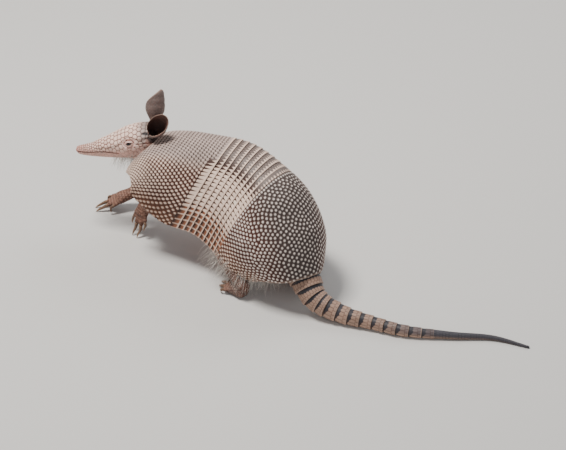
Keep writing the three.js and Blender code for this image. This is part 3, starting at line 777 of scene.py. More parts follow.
def pelvic_shield():
    mesh, u, over, is_outer = plate("pelvic_shield")
    along = mix(BANDS_END - TUCK, rear_edge(over), 1 - (1 - u) ** 1.3)
    flat = laid(along, over)
    centres = shield_scutes(*PELVIC_ROWS, SCUTE)
    _, edge, corner, which = cells(flat, centres)
    side = np.abs(over)
    flank, low = smooth(side, 0.12, 0.68), smooth(side, 0.7, 0.95)
    d = oval(flat, along, centres, which, 0.5 * smooth(side, 0.45, 0.75))
    spot = mix(mix(1.6, 1.95, flank), 1.6, smooth(side, 0.6, 0.85))
    dot = fade(d, spot * 0.4, spot * 1.35)
    pit = fade(corner, 0.4, 1.3)
    round_dome = np.clip(1 - (d / DOME) ** 2, 0, 1)
    lift = -PELVIC_SUNK + 0.35 * smooth(edge, 0.1, 0.9) + 0.8 * round_dome - 0.25 * pit
    # partly painted shade: on top the ground is a dark grey and the dots dimmer, darker than on the
    # scapular shield, for shade lying on the rump
    ground = mix(mix(GREY_DARK * 0.66, RED_BROWN * 0.58, flank), RUST * 0.34, low)
    raised = mix(mix(PALE_DOT * 0.85, PALE_DOT, flank), CREAM, low)
    raised = raised * shades(len(centres), 7, 0.07)[which][:, None]
    colour = mix(mix(ground, DARK_BROWN, pit * 0.6), raised, dot)
    # the first row is like a band, with a dotted dark line behind it
    front = fade(along, FIRST_ROW_END - 0.7, FIRST_ROW_END)
    share = np.clip((along - BANDS_END - 0.6) / 8.0, 0, 1)
    cream, off, row = strip(share, over)
    line = fade(np.abs(along - FIRST_ROW_END), 0.35, 1.1) * smooth(off, 0.05, 0.3)
    colour = mix(mix(colour, row, front), DARK_BROWN, 0.85 * line)
    lift = mix(lift, -0.6 + 0.3 * cream - 0.5 * fade(share, 0, 0.15), front) - 0.3 * line
    lip = smooth(rear_edge(over) - along, 2.0, 0.0)
    lift = lift - 0.9 * lip ** 2
    colour = mix(colour, CREAM_PINK * 0.7, 0.5 * lip)
    colour = uneven(colour, flat, 0.09, 45, 9)
    return finish_shell("pelvic_shield", mesh, is_outer, along, over, lift, -SHELL_THICK, colour,
                        HORN_SHELL)


# ---- The head's plate ----

PLATE_FROM, PLATE_TO = -6.0, 93.0
CROWN_SCUTE, SNOUT_SCUTE, UNEVEN = 7.2, 3.3, 0.28  # the scutes' sizes, and how far they are off


def plate_spread(ahead):
    """How far the plate of scutes comes down to each side, in radians: least over the eye."""
    round_eye = np.exp(-((ahead - EYE_AHEAD) / 13.0) ** 2)
    return np.radians(66 - 24 * round_eye - 8 * smooth(ahead, 60, 93))


def head_scutes(lowest):
    """Scutes on the head from the crown to the snout, down to the given angle."""
    centres = []
    ahead, row = -8.0, 0
    while ahead < 112:
        size = float(mix(CROWN_SCUTE, SNOUT_SCUTE, smooth(ahead, 34, 106)))
        girth = float(column(HEAD, "half", ahead) + column(HEAD, "top", ahead)) / 2
        count = max(int(round(2 * lowest * girth / size)), 3)
        turn = ((np.arange(count + 1) + 0.5 * (row % 2)) / count * 2 - 1) * lowest
        centres.append(head_section(np.full(count + 1, ahead), turn, 0.0))
        ahead, row = ahead + size * 0.86, row + 1
    centres = np.concatenate(centres)
    return centres + np.random.default_rng(11).normal(0, UNEVEN, centres.shape)


HEAD_CENTRES = head_scutes(math.radians(150))


def head_look(points, ahead, angle):
    """Relief and colour of the head's scutes at points near its surface."""
    _, edge, corner, which = cells(points, HEAD_CENTRES)
    crown = fade(ahead, 2, 20)
    snout = smooth(ahead, 92, 108)
    turn = np.abs(np.degrees(angle))
    cheek = smooth(turn, 72, 100)
    brow = mix(CREAM, LID_PINK, 0.5) * 1.1
    raised = mix(mix(brow, GREY_TOP * 0.85, crown), FLESH_PINK, np.maximum(cheek, snout))
    raised = raised * shades(len(HEAD_CENTRES), 13, 0.05)[which][:, None]
    ground = mix(RED_BROWN * 1.15, GREY_DARK * 0.7, crown)
    ground = mix(ground, mix(FLESH_PINK, FLESH_RED, 0.5), cheek)
    colour = mix(ground, raised, smooth(edge, 0.05, mix(0.95, 0.6, snout)))
    colour = mix(colour, RED_BROWN * 1.1, fade(corner, 0.4, 1.4) * (1 - cheek) * 0.35)
    colour = mix(colour, PIT, fade(corner, 0.3, 1.2) * crown * 0.8)
    return smooth(edge, 0.0, 1.5) * (1 - 0.75 * cheek), colour


def head_shield():
    mesh, u, over, is_outer = plate("head_shield")
    ahead = mix(PLATE_FROM, PLATE_TO, u)
    ends = np.sqrt(np.clip(1 - 0.75 * np.abs(2 * u - 1) ** 7, 0.05, 1))
    angle = over * plate_spread(ahead) * ends
    flat = head_section(ahead, angle, 0.0)
    dome, colour = head_look(flat, ahead, angle)
    front_slope = smooth(1 - u, 0.0, 0.22)
    border = np.minimum(smooth(1 - np.abs(over), 0.0, 0.12), smooth(u, 0.0, 0.05)) * front_slope
    lift = mix(-0.9, 1.0 + 0.7 * dome, border)
    # a shallow hollow before each ear, its dark colour painted shade
    shaded_hollow_before_ear = np.exp(-((ahead + 1.0) / 10.0) ** 2 - ((np.abs(angle) - 0.64) / 0.14) ** 2)
    colour = mix(colour, EAR_HOLLOW_SHADE, 0.95 * smooth(shaded_hollow_before_ear, 0.3, 0.75))
    lift = lift - 0.9 * shaded_hollow_before_ear * border
    finish_plate(mesh, is_outer, lambda at: head_section(ahead, angle, at), lift, -2.0, colour,
                 FLESH_RED)
    return piece("head_shield", mesh, HORN_FACE, ["head_shield"])


# ---- Eyes ----

def eye_place(side):
    """The eyeball's middle and the way it looks."""
    outward = unit(HEAD_LEFT * side * 0.93 + HEAD_FORWARD * 0.1 + HEAD_UP * 0.33)
    return on_head(EYE_AHEAD, side * EYE_ASIDE, EYE_ABOVE), outward


def eye(name, side):
    mesh = from_bmesh(tube(40, 28), name)
    co = coords(mesh)
    centre, outward = eye_place(side)
    across = unit(np.cross(HEAD_UP, outward))
    upward = np.cross(outward, across)
    front = co[:, 2]
    ball = co[:, :1] * across + co[:, 1:2] * upward + co[:, 2:] * outward
    ball = ball * (EYE_RADIUS - 0.1) * (1 + 0.05 * smooth(front, 0.8, 1.0))[:, None]
    set_coords(mesh, centre + ball)
    pupil = smooth(front, 0.93, 0.95)
    colour = mix(EYE_BROWN, IRIS, smooth(front, 0.80, 0.84) * (1 - pupil))
    colour = mix(colour, PUPIL, pupil)
    paint(mesh, mix(EYE_WHITE, colour, smooth(front, 0.60, 0.70)))
    return piece(name, mesh, EYE_GLOSS, [name])


# ---- The tail ----

TAIL_MESH = {"tail_base": (190, 168), "tail_middle": (150, 170), "tail_end": (100, 132)}
TAIL_SCUTE = 4.8
ROW_JOINT = 0.72  # where a ring's first row of scutes ends, as a share of the ring
TIP_SCALES = (4.6, 2.6)  # the sizes of the tip's first and last scales


def tail_length(name, first, last, rings):
    """Rings that widen to their rear edges, with scutes behind a front that is dark on top."""
    mesh, part, turn, reach = new_tube(name, *TAIL_MESH[name])
    at = RING * mix(first, last, part)
    if name != "tail_end":
        at = np.minimum(at, RING * last - 0.4)
    place_in_rings = np.clip(part * rings, 0, rings - 1e-4)
    ring = np.floor(place_in_rings)
    share = place_in_rings - ring
    girth = column(TAIL, "radius", at)
    middle_girth = float(column(TAIL, "radius", RING * (first + last) / 2))
    scutes_round = np.round(2 * math.pi * middle_girth / TAIL_SCUTE)
    rows = np.where(share > ROW_JOINT, 1.0, 0.0)
    across = turn / (2 * math.pi) * scutes_round + 0.5 * rows
    off = np.abs(across - np.round(across))
    top = smooth(np.cos(turn), -0.45, 0.6)
    dark_to = mix(0.07, 0.36, top) - 0.16 * (0.5 - off) * top
    scutes = smooth(share, dark_to, dark_to + 0.07)
    joint = fade(np.abs(share - ROW_JOINT), 0.012, 0.05)
    groove = np.maximum(smooth(off, 0.38, 0.48), 0.6 * joint) * scutes
    pale = shades(400, 31, 0.07)[(np.round(across) + 37 * rows + 60 + ring * 7).astype(int) % 400]
    far = smooth(at, 120, 215)
    dark = mix(mix(DARK_BROWN, BLUE_BLACK, top), BLUE_BLACK * 1.2, far * 0.6)
    tan = mix(mix(TAN_PINK * 0.98, TAN_PINK * 0.78, top), BLUE_BLACK * 2.2, far * top * 0.85)
    colour = mix(dark, mix(tan * pale[:, None], DARK_BROWN, groove * 0.75), scutes)
    colour = mix(colour, CREAM_PINK * 0.95, smooth(share, 0.93, 0.985) * 0.6)
    # painted shadow: a thin dark line at each ring's front, under the rear edge of the ring before
    # it
    colour = mix(colour, DARK_BROWN * 0.5, 0.9 * fade(share, 0.0, 0.08))
    on_ring = at[:, None] * (1, 0, 0) + vec(0, np.cos(turn), np.sin(turn)) * 12
    colour = uneven(colour, on_ring, 0.08, 30, 12)
    swell = 1 + 0.11 * (share - 0.5)
    radius = girth * swell + 0.4 - 0.35 * groove - 0.25 * (1 - scutes)
    radius = radius - 0.05 * girth * smooth(share, 0.965, 1.0)
    set_coords(mesh, above_floor(on_tail(at, turn, radius * reach)))
    paint(mesh, colour)
    return piece(name, mesh, HORN_TAIL, [name])


def tail_tip():
    """The thin end, in small staggered scales instead of rings."""
    steps = 190
    mesh, part, turn, reach = new_tube("tail_tip", 64, steps)
    at = mix(RINGED - 1.5, TAIL_LENGTH - 1, part)
    girth = column(TAIL, "radius", at)
    pitch = mix(*TIP_SCALES, part)
    stations = np.arange(steps + 1)
    line = np.cumsum((TAIL_LENGTH - RINGED) / steps / mix(*TIP_SCALES, stations / steps))
    along = np.interp(part * steps, stations, line)
    row, share = np.floor(along), along - np.floor(along)
    across = turn / (2 * math.pi) * 12 + 0.5 * (row % 2)
    off = np.abs(across - np.round(across)) * 2
    groove = np.maximum(smooth(off, 0.7, 0.95), fade(share, 0.05, 0.25))
    top = smooth(np.cos(turn), -0.4, 0.5)
    scale = mix(mix(TAN_PINK * 0.75, BLUE_BLACK * 1.9, top), BLUE_BLACK * 1.6, part)
    colour = mix(scale, BLUE_BLACK * 0.7, groove * 0.85)
    radius = girth + 0.35 - 0.05 * pitch * groove
    set_coords(mesh, above_floor(on_tail(at, turn, radius * reach)))
    paint(mesh, colour)
    return piece("tail_tip", mesh, HORN_TAIL, ["tail_tip"])


# ---- Feet and claws ----

CLAW_TAPER = (0, 0.2, 0.45, 0.75, 0.95, 1), (0.72, 0.82, 0.7, 0.44, 0.16, 0.05)


def paw_ways(leg):
    """A paw's knuckles, the ways from them to the toes' tips, forward and aside."""
    knuckle = beside(leg["knuckle"])
    way = beside(leg["tips"]) - knuckle
    level = beside(leg["tips"]) - beside(leg["heel"])
    level[2] = 0
    level = unit(level)
    aside = np.cross((0, 0, 1), level) * -np.sign(leg["joints"][0][1])
    return knuckle, way, level, aside


def toe_tip(leg, toe):
    knuckle, way, _, aside = paw_ways(leg)
    return knuckle + way * toe.reach + aside * (toe.aside + toe.splay)


def claw_path(leg, toe):
    """Where a claw begins and its three further places, as in the part."""
    knuckle, _, level, aside = paw_ways(leg)
    way = unit(toe_tip(leg, toe) - knuckle - aside * toe.aside)
    root = toe_tip(leg, toe) + way * 0.2
    drop = min(root[2] + 0.2, toe.claw * 0.96)
    tip = root + level * math.sqrt(toe.claw ** 2 - drop ** 2) - np.array((0, 0, drop))
    first = root + way * toe.claw * 0.3
    second = (first + tip) / 2 + level * toe.claw * 0.06
    return np.array((root - way * 1.6, root, first, second, tip))


def along_path(places, share):
    """A smooth curve through places, and its direction."""
    table = {"s": np.arange(len(places)) / (len(places) - 1)}
    for k, axis in enumerate("xyz"):
        table[axis] = places[:, k]
    at = vec(*(column(table, axis, share) for axis in "xyz"))
    e = 0.004
    ahead = vec(*(column(table, axis, np.minimum(share + e, 1)) for axis in "xyz"))
    behind = vec(*(column(table, axis, np.maximum(share - e, 0)) for axis in "xyz"))
    return at, unit(ahead - behind)


def claws(name, leg):
    _, _, _, aside = paw_ways(leg)
    for i, toe in enumerate(TOES[leg["kind"]]):
        claw = f"claw_{name}_{i + 1}"
        mesh, along, turn, reach = new_tube(claw, 20, 26)
        middle, way = along_path(claw_path(leg, toe), along)
        over = unit(np.cross(aside, way)) * np.sign(np.cross(aside, way)[:, 2:] + 1e-6)
        radius = toe.width * np.interp(along, *CLAW_TAPER)
        wide, tall = radius * 0.82, radius * np.where(np.cos(turn) > 0, 1.12, 0.8)
        place = (middle + aside * (wide * reach * np.sin(turn))[:, None]
                 + over * (tall * reach * np.cos(turn))[:, None])
        set_coords(mesh, above_floor(place))
        middle_part = smooth(along, 0.1, 0.35) * fade(along, 0.5, 0.9)
        colour = mix(CLAW_TAN, CLAW_DARK, middle_part * 0.5)
        colour = mix(colour, CLAW_DARK, smooth(np.abs(np.sin(turn)), 0.75, 1.0) * 0.35)
        paint(mesh, colour)
        piece(claw, mesh, CLAW_HORN, [claw])


# ---- The skin ----

VOXEL, SMOOTHING = 1.66, 5  # the fused skin's grid in millimetres, and its rounds of smoothing
NECK = ((34, -5, 117), (10, -10, 134)), (27, 24.5, 22.5)  # places beside the axis, and radii
UNDER_TRUNK, UNDER_HEAD, UNDER_LEGS, UNDER_TOES = 5.2, 0.15, 0.4, 0.6  # inside the solids
COVERED_ALONG, COVERED_ABOVE, COVERED_SHARE = (34, 256), 84, 0.9  # what the shell always covers
SCALE_ROW, SCALE_WIDTH = 4.2, 4.6  # the limbs' scales
LID_HALF, LID_REACH, LID_THICK = 2.0, 4.9, 0.75  # half the eye's opening up and along, and the lid


def limb(points, radii, around=18, steps=14, flat=1.0, sideways=(0.31, 0.92, 0.2)):
    """A tapering tube through places, with the width across kept and the height flattened."""
    places = np.array(points, float)

    def place(along, turn, reach):
        middle, way = along_path(places, along)
        side = unit(np.cross(np.cross(way, sideways), way))
        over = np.cross(way, side)
        girth = np.interp(along, np.linspace(0, 1, len(radii)), radii)
        ends = np.sqrt(np.clip(1 - np.abs(2 * along - 1) ** 12, 0, 1))
        radius = girth * reach * np.maximum(ends, 0.55)
        return (middle + side * (radius * np.sin(turn))[:, None]
                + over * (radius * flat * np.cos(turn))[:, None])
    return around, steps, place


def round_ball(centre, radius):
    def place(along, turn, reach):
        level, r = np.cos(along * math.pi), np.sin(along * math.pi)
        return centre + radius * vec(r * np.cos(turn), r * np.sin(turn), level)
    return 18, 12, place


def trunk_part(along, turn, reach):
    """The trunk under the shell, drawn in towards the neck."""
    at = mix(16, 264, along)
    drawn = fade(at, 16, 48)
    depth = column(BODY, "belly", at) - 0.5
    return on_body(at, turn, -UNDER_TRUNK, depth, (1 - 0.42 * drawn ** 2) * reach)


def head_part(along, turn, reach):
    return head_section(mix(-17, 113.6, along), turn, -UNDER_HEAD, reach)


def leg_parts(leg):
    top, bend, end = (beside(p) for p in leg["joints"])
    r1, r2, r3 = (r - UNDER_LEGS for r in leg["radii"])
    knuckle, way, _, aside = paw_ways(leg)
    heel = beside(leg["heel"])
    heel_width, knuckle_width, flatness = PAWS[leg["kind"]]
    parts = [
        limb([top, bend], (r1, r2)), round_ball(bend, r2),
        limb([bend, end], (r2, (r2 + r3) / 2, r3)), round_ball(end, r3),
        limb([heel, knuckle + way * 0.1], (heel_width - UNDER_TOES, knuckle_width - UNDER_TOES),
             20, 12, flatness, aside)]
    for toe in TOES[leg["kind"]]:
        root = mix(heel, knuckle, 0.6) + aside * toe.aside * 0.7
        tip = toe_tip(leg, toe) + unit(way) * UNDER_TOES
        radii = [girth * toe.width for girth in (1.2, 1.22, 1.0, 1.12, 0.9)]
        joint = knuckle + aside * toe.aside
        parts.append(limb([root, joint, mix(joint, tip, 0.5), tip], radii, 14, 16))
    return parts


def joined(parts):
    """One mesh of all the parts' closed tubes, each placed by its own rule."""
    bm = bmesh.new()
    for around, steps, place in parts:
        mesh, along, turn, reach = new_tube("part", around, steps)
        set_coords(mesh, place(along, turn, reach))
        bm.from_mesh(mesh)
        bpy.data.meshes.remove(mesh)
    return from_bmesh(bm, "flesh")


def fused(mesh):
    """The outside of overlapping closed meshes as one even skin."""
    obj = into_scene("fusing", mesh)
    remesh = obj.modifiers.new("fuse", "REMESH")
    remesh.mode = "VOXEL"
    remesh.voxel_size = VOXEL * MM
    relax = obj.modifiers.new("relax", "SMOOTH")
    relax.factor = 0.5
    relax.iterations = SMOOTHING
    return finished(obj)


def thinned(mesh, covered, share):
    """Takes the share of faces out where something always covers them."""
    obj = into_scene("thinning", mesh)
    group = obj.vertex_groups.new(name="covered")
    group.add(np.nonzero(covered)[0].tolist(), 1.0, "REPLACE")
    thin = obj.modifiers.new("thin", "DECIMATE")
    thin.vertex_group = group.name
    thin.ratio = 1 - share * covered.mean()
    return finished(obj)


def refine(mesh, chosen, rounds):
    """Halves the faces round the chosen vertices and rounds them off again."""
    bm = bmesh.new()
    bm.from_mesh(mesh)
    bm.verts.ensure_lookup_table()
    keep = set(np.nonzero(chosen)[0])
    edges = [e for e in bm.edges if e.verts[0].index in keep and e.verts[1].index in keep]
    bmesh.ops.subdivide_edges(bm, edges=edges, cuts=1, use_grid_fill=True)
    verts = {v for e in edges if e.is_valid for v in e.verts}
    near = [v for v in bm.verts if v in verts]
    for _ in range(rounds):
        bmesh.ops.smooth_vert(bm, verts=near, factor=0.5, use_axis_x=True, use_axis_y=True,
                              use_axis_z=True)
    bm.to_mesh(mesh)
    bm.free()
    mesh.update()


def normals(mesh):
    n = np.empty(len(mesh.vertices) * 3, np.float32)
    mesh.vertices.foreach_get("normal", n)
    return n.reshape(-1, 3).astype(float)


def millimetres(mesh):
    return coords(mesh) / MM - ORIGIN


def mouth_line(ahead):
    """How high the mouth's slit is, at a place along the head."""
    return -2.4 + (ahead - 108) * math.tan(math.radians(6.5)) + 0.6 * np.sin((ahead - 60) / 7.0)


def eye_frame(side):
    centre, outward = eye_place(side)
    forward = unit(np.cross(np.cross(outward, HEAD_FORWARD), outward))
    upward = np.cross(outward, forward)
    return centre, outward, forward, upward * np.sign(upward @ HEAD_UP)


def lids(points, colour):
    """Draws the skin over the eyeballs into lids, with an almond opening and folds round it."""
    for side in (1, -1):
        centre, outward, forward, upward = eye_frame(side)
        rel = points - centre
        x, y, z = rel @ forward, rel @ upward, rel @ outward
        near = (z > -1.5) & (np.hypot(x, y) < 11)
        x, y, z = x[near], y[near], z[near]
        around, r = np.hypot(x / 1.6, y), np.hypot(x, y)
        # the opening, pointed at both corners
        gap = np.abs(y + 0.1) - LID_HALF * np.clip(1 - (np.abs(x) / LID_REACH) ** 2, 0, 1)
        beyond = np.maximum(np.abs(x) - LID_REACH, 0)
        off = np.hypot(np.maximum(gap, 0), beyond) * np.where((gap > 0) | (beyond > 0), 1, 0)
        # the lids over the eyeball, thick at their edges, and the folds round them
        sunk = np.sqrt(np.clip(EYE_RADIUS ** 2 - r ** 2, 0, None)) - 1.3
        lid = np.sqrt(np.clip((EYE_RADIUS + LID_THICK) ** 2 - r ** 2, 0, None)) - 0.1
        lid = lid + 0.25 * fade(np.abs(off - 0.7), 0.0, 0.6)
        out = mix(np.maximum(lid, z - 3), z, smooth(r, 4.6, 8.2))
        folds = smooth(around, 3.0, 4.2) * fade(around, 6.5, 9)
        out = out + 0.45 * np.cos((around - 4.1) * 2.1) * folds
        inside = 0.9 * fade(off, 0.0, 0.35)
        inside = np.where((gap < 0) & (beyond == 0), 1.0, inside)
        out = mix(out, np.minimum(sunk, out), inside)
        points[near] = centre + rel[near] + (out - z)[:, None] * outward
        # creases above and below, rays behind the rear corner, and dark edges
        crease = fade(np.abs(around - 4.9), 0.15, 0.75)
        rays = smooth(np.cos(np.arctan2(y, -x) * 9), 0.5, 0.95)
        rays = rays * smooth(-x, 3.5, 6) * fade(-x, 8.0, 9.5)
        tone = mix(LID_PINK, RED_BROWN, np.maximum(crease * smooth(y, -2.0, 1.0), 0.5 * rays))
        lower = fade(np.abs(around - 4.6), 0.1, 0.5) * smooth(-y, 0.5, 2.0)
        tone = mix(tone, RED_BROWN, 0.45 * lower)
        tone = mix(tone, LID_EDGE, fade(off, 0.15, 0.65) * 0.85)
        colour[near] = mix(colour[near], tone, fade(around, 5.9, 8.0))


def flesh():
    """The fused trunk, neck, head and limbs: fine on the face and coarse under the shell."""
    places, radii = NECK
    neck = [beside(place) for place in places] + [on_head(-3.0, 0.0, -9.0)]
    parts = [(28, 40, head_part), (36, 50, trunk_part), limb(neck, radii, 28, 20)]
    for leg in LEGS.values():
        parts += leg_parts(leg)
    mesh = fused(joined(parts))
    x, _, z = millimetres(mesh).T
    mesh = thinned(mesh, (z > COVERED_ABOVE) & within(x, *COVERED_ALONG), COVERED_SHARE)
    ahead, aside, above = to_head(millimetres(mesh))
    refine(mesh, within(ahead, 2, 116) & (np.abs(aside) < 27) & within(above, -32, 24), 2)
    points = millimetres(mesh)
    ahead, _, above = to_head(points)
    fine = within(ahead, 46, 116) & (np.abs(above - mouth_line(ahead)) < 2.2)
    fine |= within(ahead, 107, 118)
    for side in (1, -1):
        fine |= np.linalg.norm(points - eye_frame(side)[0], axis=1) < 10.5
    refine(mesh, fine, 1)
    return mesh


class SkinLook:
    """The skin's points, and the colour and height that each rule below lays on them in turn."""

    def __init__(self, mesh):
        self.points, self.normal = millimetres(mesh), normals(mesh)
        self.x, self.y, self.z = self.points.T
        self.ahead, self.aside, self.above = to_head(self.points)
        self.colour = uneven(LEG_BROWN_SHADED * 1.1, self.points, 0.08, 16, 3)
        self.height = np.zeros(len(self.points))
        self.head = (smooth(self.ahead, -6, 4) * (np.abs(self.aside) < 30)
                     * within(self.above, -34, 26) * (self.ahead < 118))
        self.covered = np.zeros(len(self.points))  # how far the limbs' scales cover each place

    def tint(self, colour, share):
        self.colour = mix(self.colour, colour, share)


def head_skin(look):
    """Scutes on the muzzle and cheeks, folds behind the jaw, knobs on the nape, dark ear roots."""
    ahead, aside, above = look.ahead, look.aside, look.above
    angle = np.arctan2(aside, above - column(HEAD, "centre", ahead))
    dome, tone = head_look(look.points, ahead, angle)
    look.tint(tone, look.head)
    look.height += look.head * (0.35 * dome - 0.2) * mix(1.0, 0.6, smooth(ahead, 85, 108))
    fold = np.sin(ahead * 1.15 + 0.16 * above + wobble(look.points, 20, 4)) * smooth(ahead, 12, -2)
    below = smooth(-above, 2, 14) * smooth(ahead, -22, -12) * fade(ahead, 4, 16)
    look.height += 0.7 * fold * below * (np.abs(aside) < 34) * (above > -45)
    nape = smooth(ahead, -48, -30) * fade(ahead, -4, 8) * (look.z > 88)
    knob = (np.sin(ahead * 1.5 + 0.4 * above) * np.sin(above * 1.6 - 0.3 * ahead)
            * np.sin(aside * 1.3))
    look.tint(mix(FLESH_RED, FLESH_PINK * 0.9, smooth(knob, -0.4, 0.3)), nape * 0.85)
    for side in (1, -1):
        root = np.hypot(ahead - EAR_AHEAD - 1, aside - side * (EAR_ASIDE + 2))
        look.tint(EAR_ROOT_DARK, fade(root, 6.5, 10.5) * (above > -6))


def mouth_and_nose(look):
    """The mouth's slit between wrinkled lips, the crease behind the eye, and the nose."""
    ahead, aside, above, head = look.ahead, look.aside, look.above, look.head
    line = np.abs(above - mouth_line(ahead))
    mouth = fade(line, 0.25, 1.15) * smooth(ahead, 46, 50)
    mouth = mouth * fade(ahead, 109, 112) * head
    look.height -= 1.3 * mouth
    lips = fade(line, 1.5, 6.0) * smooth(ahead, 40, 52) * head
    look.height += 0.3 * lips * np.sin(ahead * 2.1 + above * 0.9 + wobble(look.points, 12, 8))
    look.tint(FLESH_PINK * 0.98, 0.55 * lips)
    look.tint(MOUTH_DARK, mouth * 0.9)
    ends = fade(ahead, -8, -4) + smooth(ahead, 18, 21)
    crease = fade(np.abs(above - 0.5 - (ahead + 4) * 0.12) + 2 * ends, 0.2, 1.2)
    crease = crease * within(np.abs(aside), 12, 32)
    look.height -= 0.8 * crease
    look.tint(RED_BROWN, 0.75 * crease)
    look.tint(NOSE_PINK, smooth(ahead, 108, 112.5) * head * 0.85)
    for side in (1, -1):
        hole = np.hypot(aside - side * 2.7, above - column(HEAD, "centre", ahead) - 0.6)
        nostril = fade(hole, 0.8, 1.5) * smooth(ahead, 108, 111)
        look.height -= 1.6 * nostril
        wing = fade(np.abs(hole - 2.1), 0.2, 0.9) * smooth(ahead, 106, 110)
        look.height += 0.5 * wing * head
        look.tint(NOSTRIL_DARK, nostril)


def from_line(points, start, end):
    """The line's direction and length, and the points' places along it and distances from it."""
    axis, length = unit(end - start), np.linalg.norm(end - start)
    s = (points - start) @ axis
    return axis, length, s, np.linalg.norm(points - start - np.outer(s, axis), axis=1)


def limb_scales(look, name, leg):
    """Staggered scales on a limb's lengths, greyer and darker on the hind legs, partly as painted
    shade.
    """
    points = look.points
    top, bend, end = (beside(p) for p in leg["joints"])
    heel_width, knuckle_width, _ = PAWS[leg["kind"]]
    upper, lower, wrist = leg["radii"]
    for a, b, ra, rb in ((top, bend, upper, lower), (bend, end, lower, wrist),
                         (beside(leg["heel"]), beside(leg["knuckle"]), heel_width, knuckle_width)):
        axis, length, s, off = from_line(points, a, b)
        girth = mix(ra, rb, np.clip(s / length, 0, 1))
        near = smooth(off, girth + 4.5, girth + 2) * smooth(s, -6, 4)
        near = near * smooth(s, length + 8, length - 2) * (look.z < 100)
        side = unit(np.cross(axis, (0.1, 0.2, 0.97)))
        turn = np.arctan2((points - a) @ side, (points - a) @ np.cross(axis, side))
        rows = s / SCALE_ROW
        count = np.round(2 * math.pi * (ra + rb) / 2 / SCALE_WIDTH)
        across = turn / (2 * math.pi) * count + 0.5 * (np.floor(rows) % 2)
        cell = np.hypot((across - np.round(across)) * 1.1, (rows - np.floor(rows) - 0.5))
        scale = fade(cell, 0.25, 0.5)
        look.height += near * (0.45 * scale - 0.15)
        tone = mix(LEG_BROWN_SHADED * 0.75, LEG_SCALE, scale)
        # partly painted shade: the hind legs' grey is darker for the shade they stand in
        if name.startswith("hind"):
            tone = mix(tone, mix(GREY_DARK * 0.5, GREY_TOP * 0.6, scale), 0.6)
        look.tint(tone, near * 0.85)
        look.covered = np.maximum(look.covered, near)


def chest_and_belly(look):
    """Rows of small pale warts on pinkish skin, and low folds everywhere behind the head."""
    x, y, z = look.x, look.y, look.z
    chest = (1 - look.head) * ((look.ahead < -4) | (look.above < -34)) * within(z, 30, 118)
    wart = np.maximum(np.sin(z * 1.15 + 0.3 * np.sin(y * 0.5)), 0)
    wart = wart * np.maximum(np.sin(y * 1.1 + x * 0.9), 0)
    bare = chest * (1 - look.covered)
    look.tint(mix(FLESH_RED * 0.75, FLESH_PINK * 0.8, smooth(wart, 0.05, 0.5)), 0.75 * bare)
    look.height += 0.5 * wart * bare
    under = smooth(-look.normal[:, 2], 0.2, 0.7) * within(z, 18, 85) * (look.ahead < -12)
    look.tint(FLESH_PINK * 0.9, under * 0.6)
    look.height += 0.5 * under * np.maximum(np.sin(x * 0.9) * np.sin(y * 0.9), 0) ** 2
    look.height += 0.25 * wobble(look.points, 9, 6) * (1 - look.head)


def toe_knobs(look, leg):
    """Knobs on the backs of the toes."""
    knuckle, _, _, aside = paw_ways(leg)
    for toe in TOES[leg["kind"]]:
        tip, joint = toe_tip(leg, toe), knuckle + aside * toe.aside
        _, length, s, off = from_line(look.points, joint, tip)
        near = smooth(off, toe.width * 1.8, toe.width * 1.2) * smooth(s, -9, -4)
        near = near * smooth(s, length + 3, length)
        knobs = (np.cos(s * 1.55) * 0.5 + 0.5) * smooth(look.normal[:, 2], -0.1, 0.5)
        look.height += near * (0.4 * knobs - 0.1)
        look.tint(mix(LEG_BROWN_SHADED * 0.8, LEG_SCALE * 1.05, knobs * 0.8 + 0.1), near * 0.8)


def skin():
    mesh = flesh()
    look = SkinLook(mesh)
    head_skin(look)
    mouth_and_nose(look)
    for name, leg in LEGS.items():
        limb_scales(look, name, leg)
    chest_and_belly(look)
    for leg in LEGS.values():
        toe_knobs(look, leg)
    points = look.points + look.normal * look.height[:, None]
    lids(points, look.colour)
    set_coords(mesh, above_floor(points, SOLE_GAP))
    paint(mesh, look.colour)
    with_ears(mesh)
    nodes = ["head", "lower_jaw", "neck", "trunk", "ear_left", "ear_right"]
    nodes += [f"{kind}_{name}" for name in LEGS for kind in ("leg", "foot")]
    return piece("skin", mesh, SKIN, nodes)


# ---- Ears ----

def turned(axis, degrees):
    a = math.radians(degrees)
    c, s = math.cos(a), math.sin(a)
    if axis == "x":
        return np.array(((1, 0, 0), (0, c, -s), (0, s, c)))
    return np.array(((c, 0, s), (0, 1, 0), (-s, 0, c)))


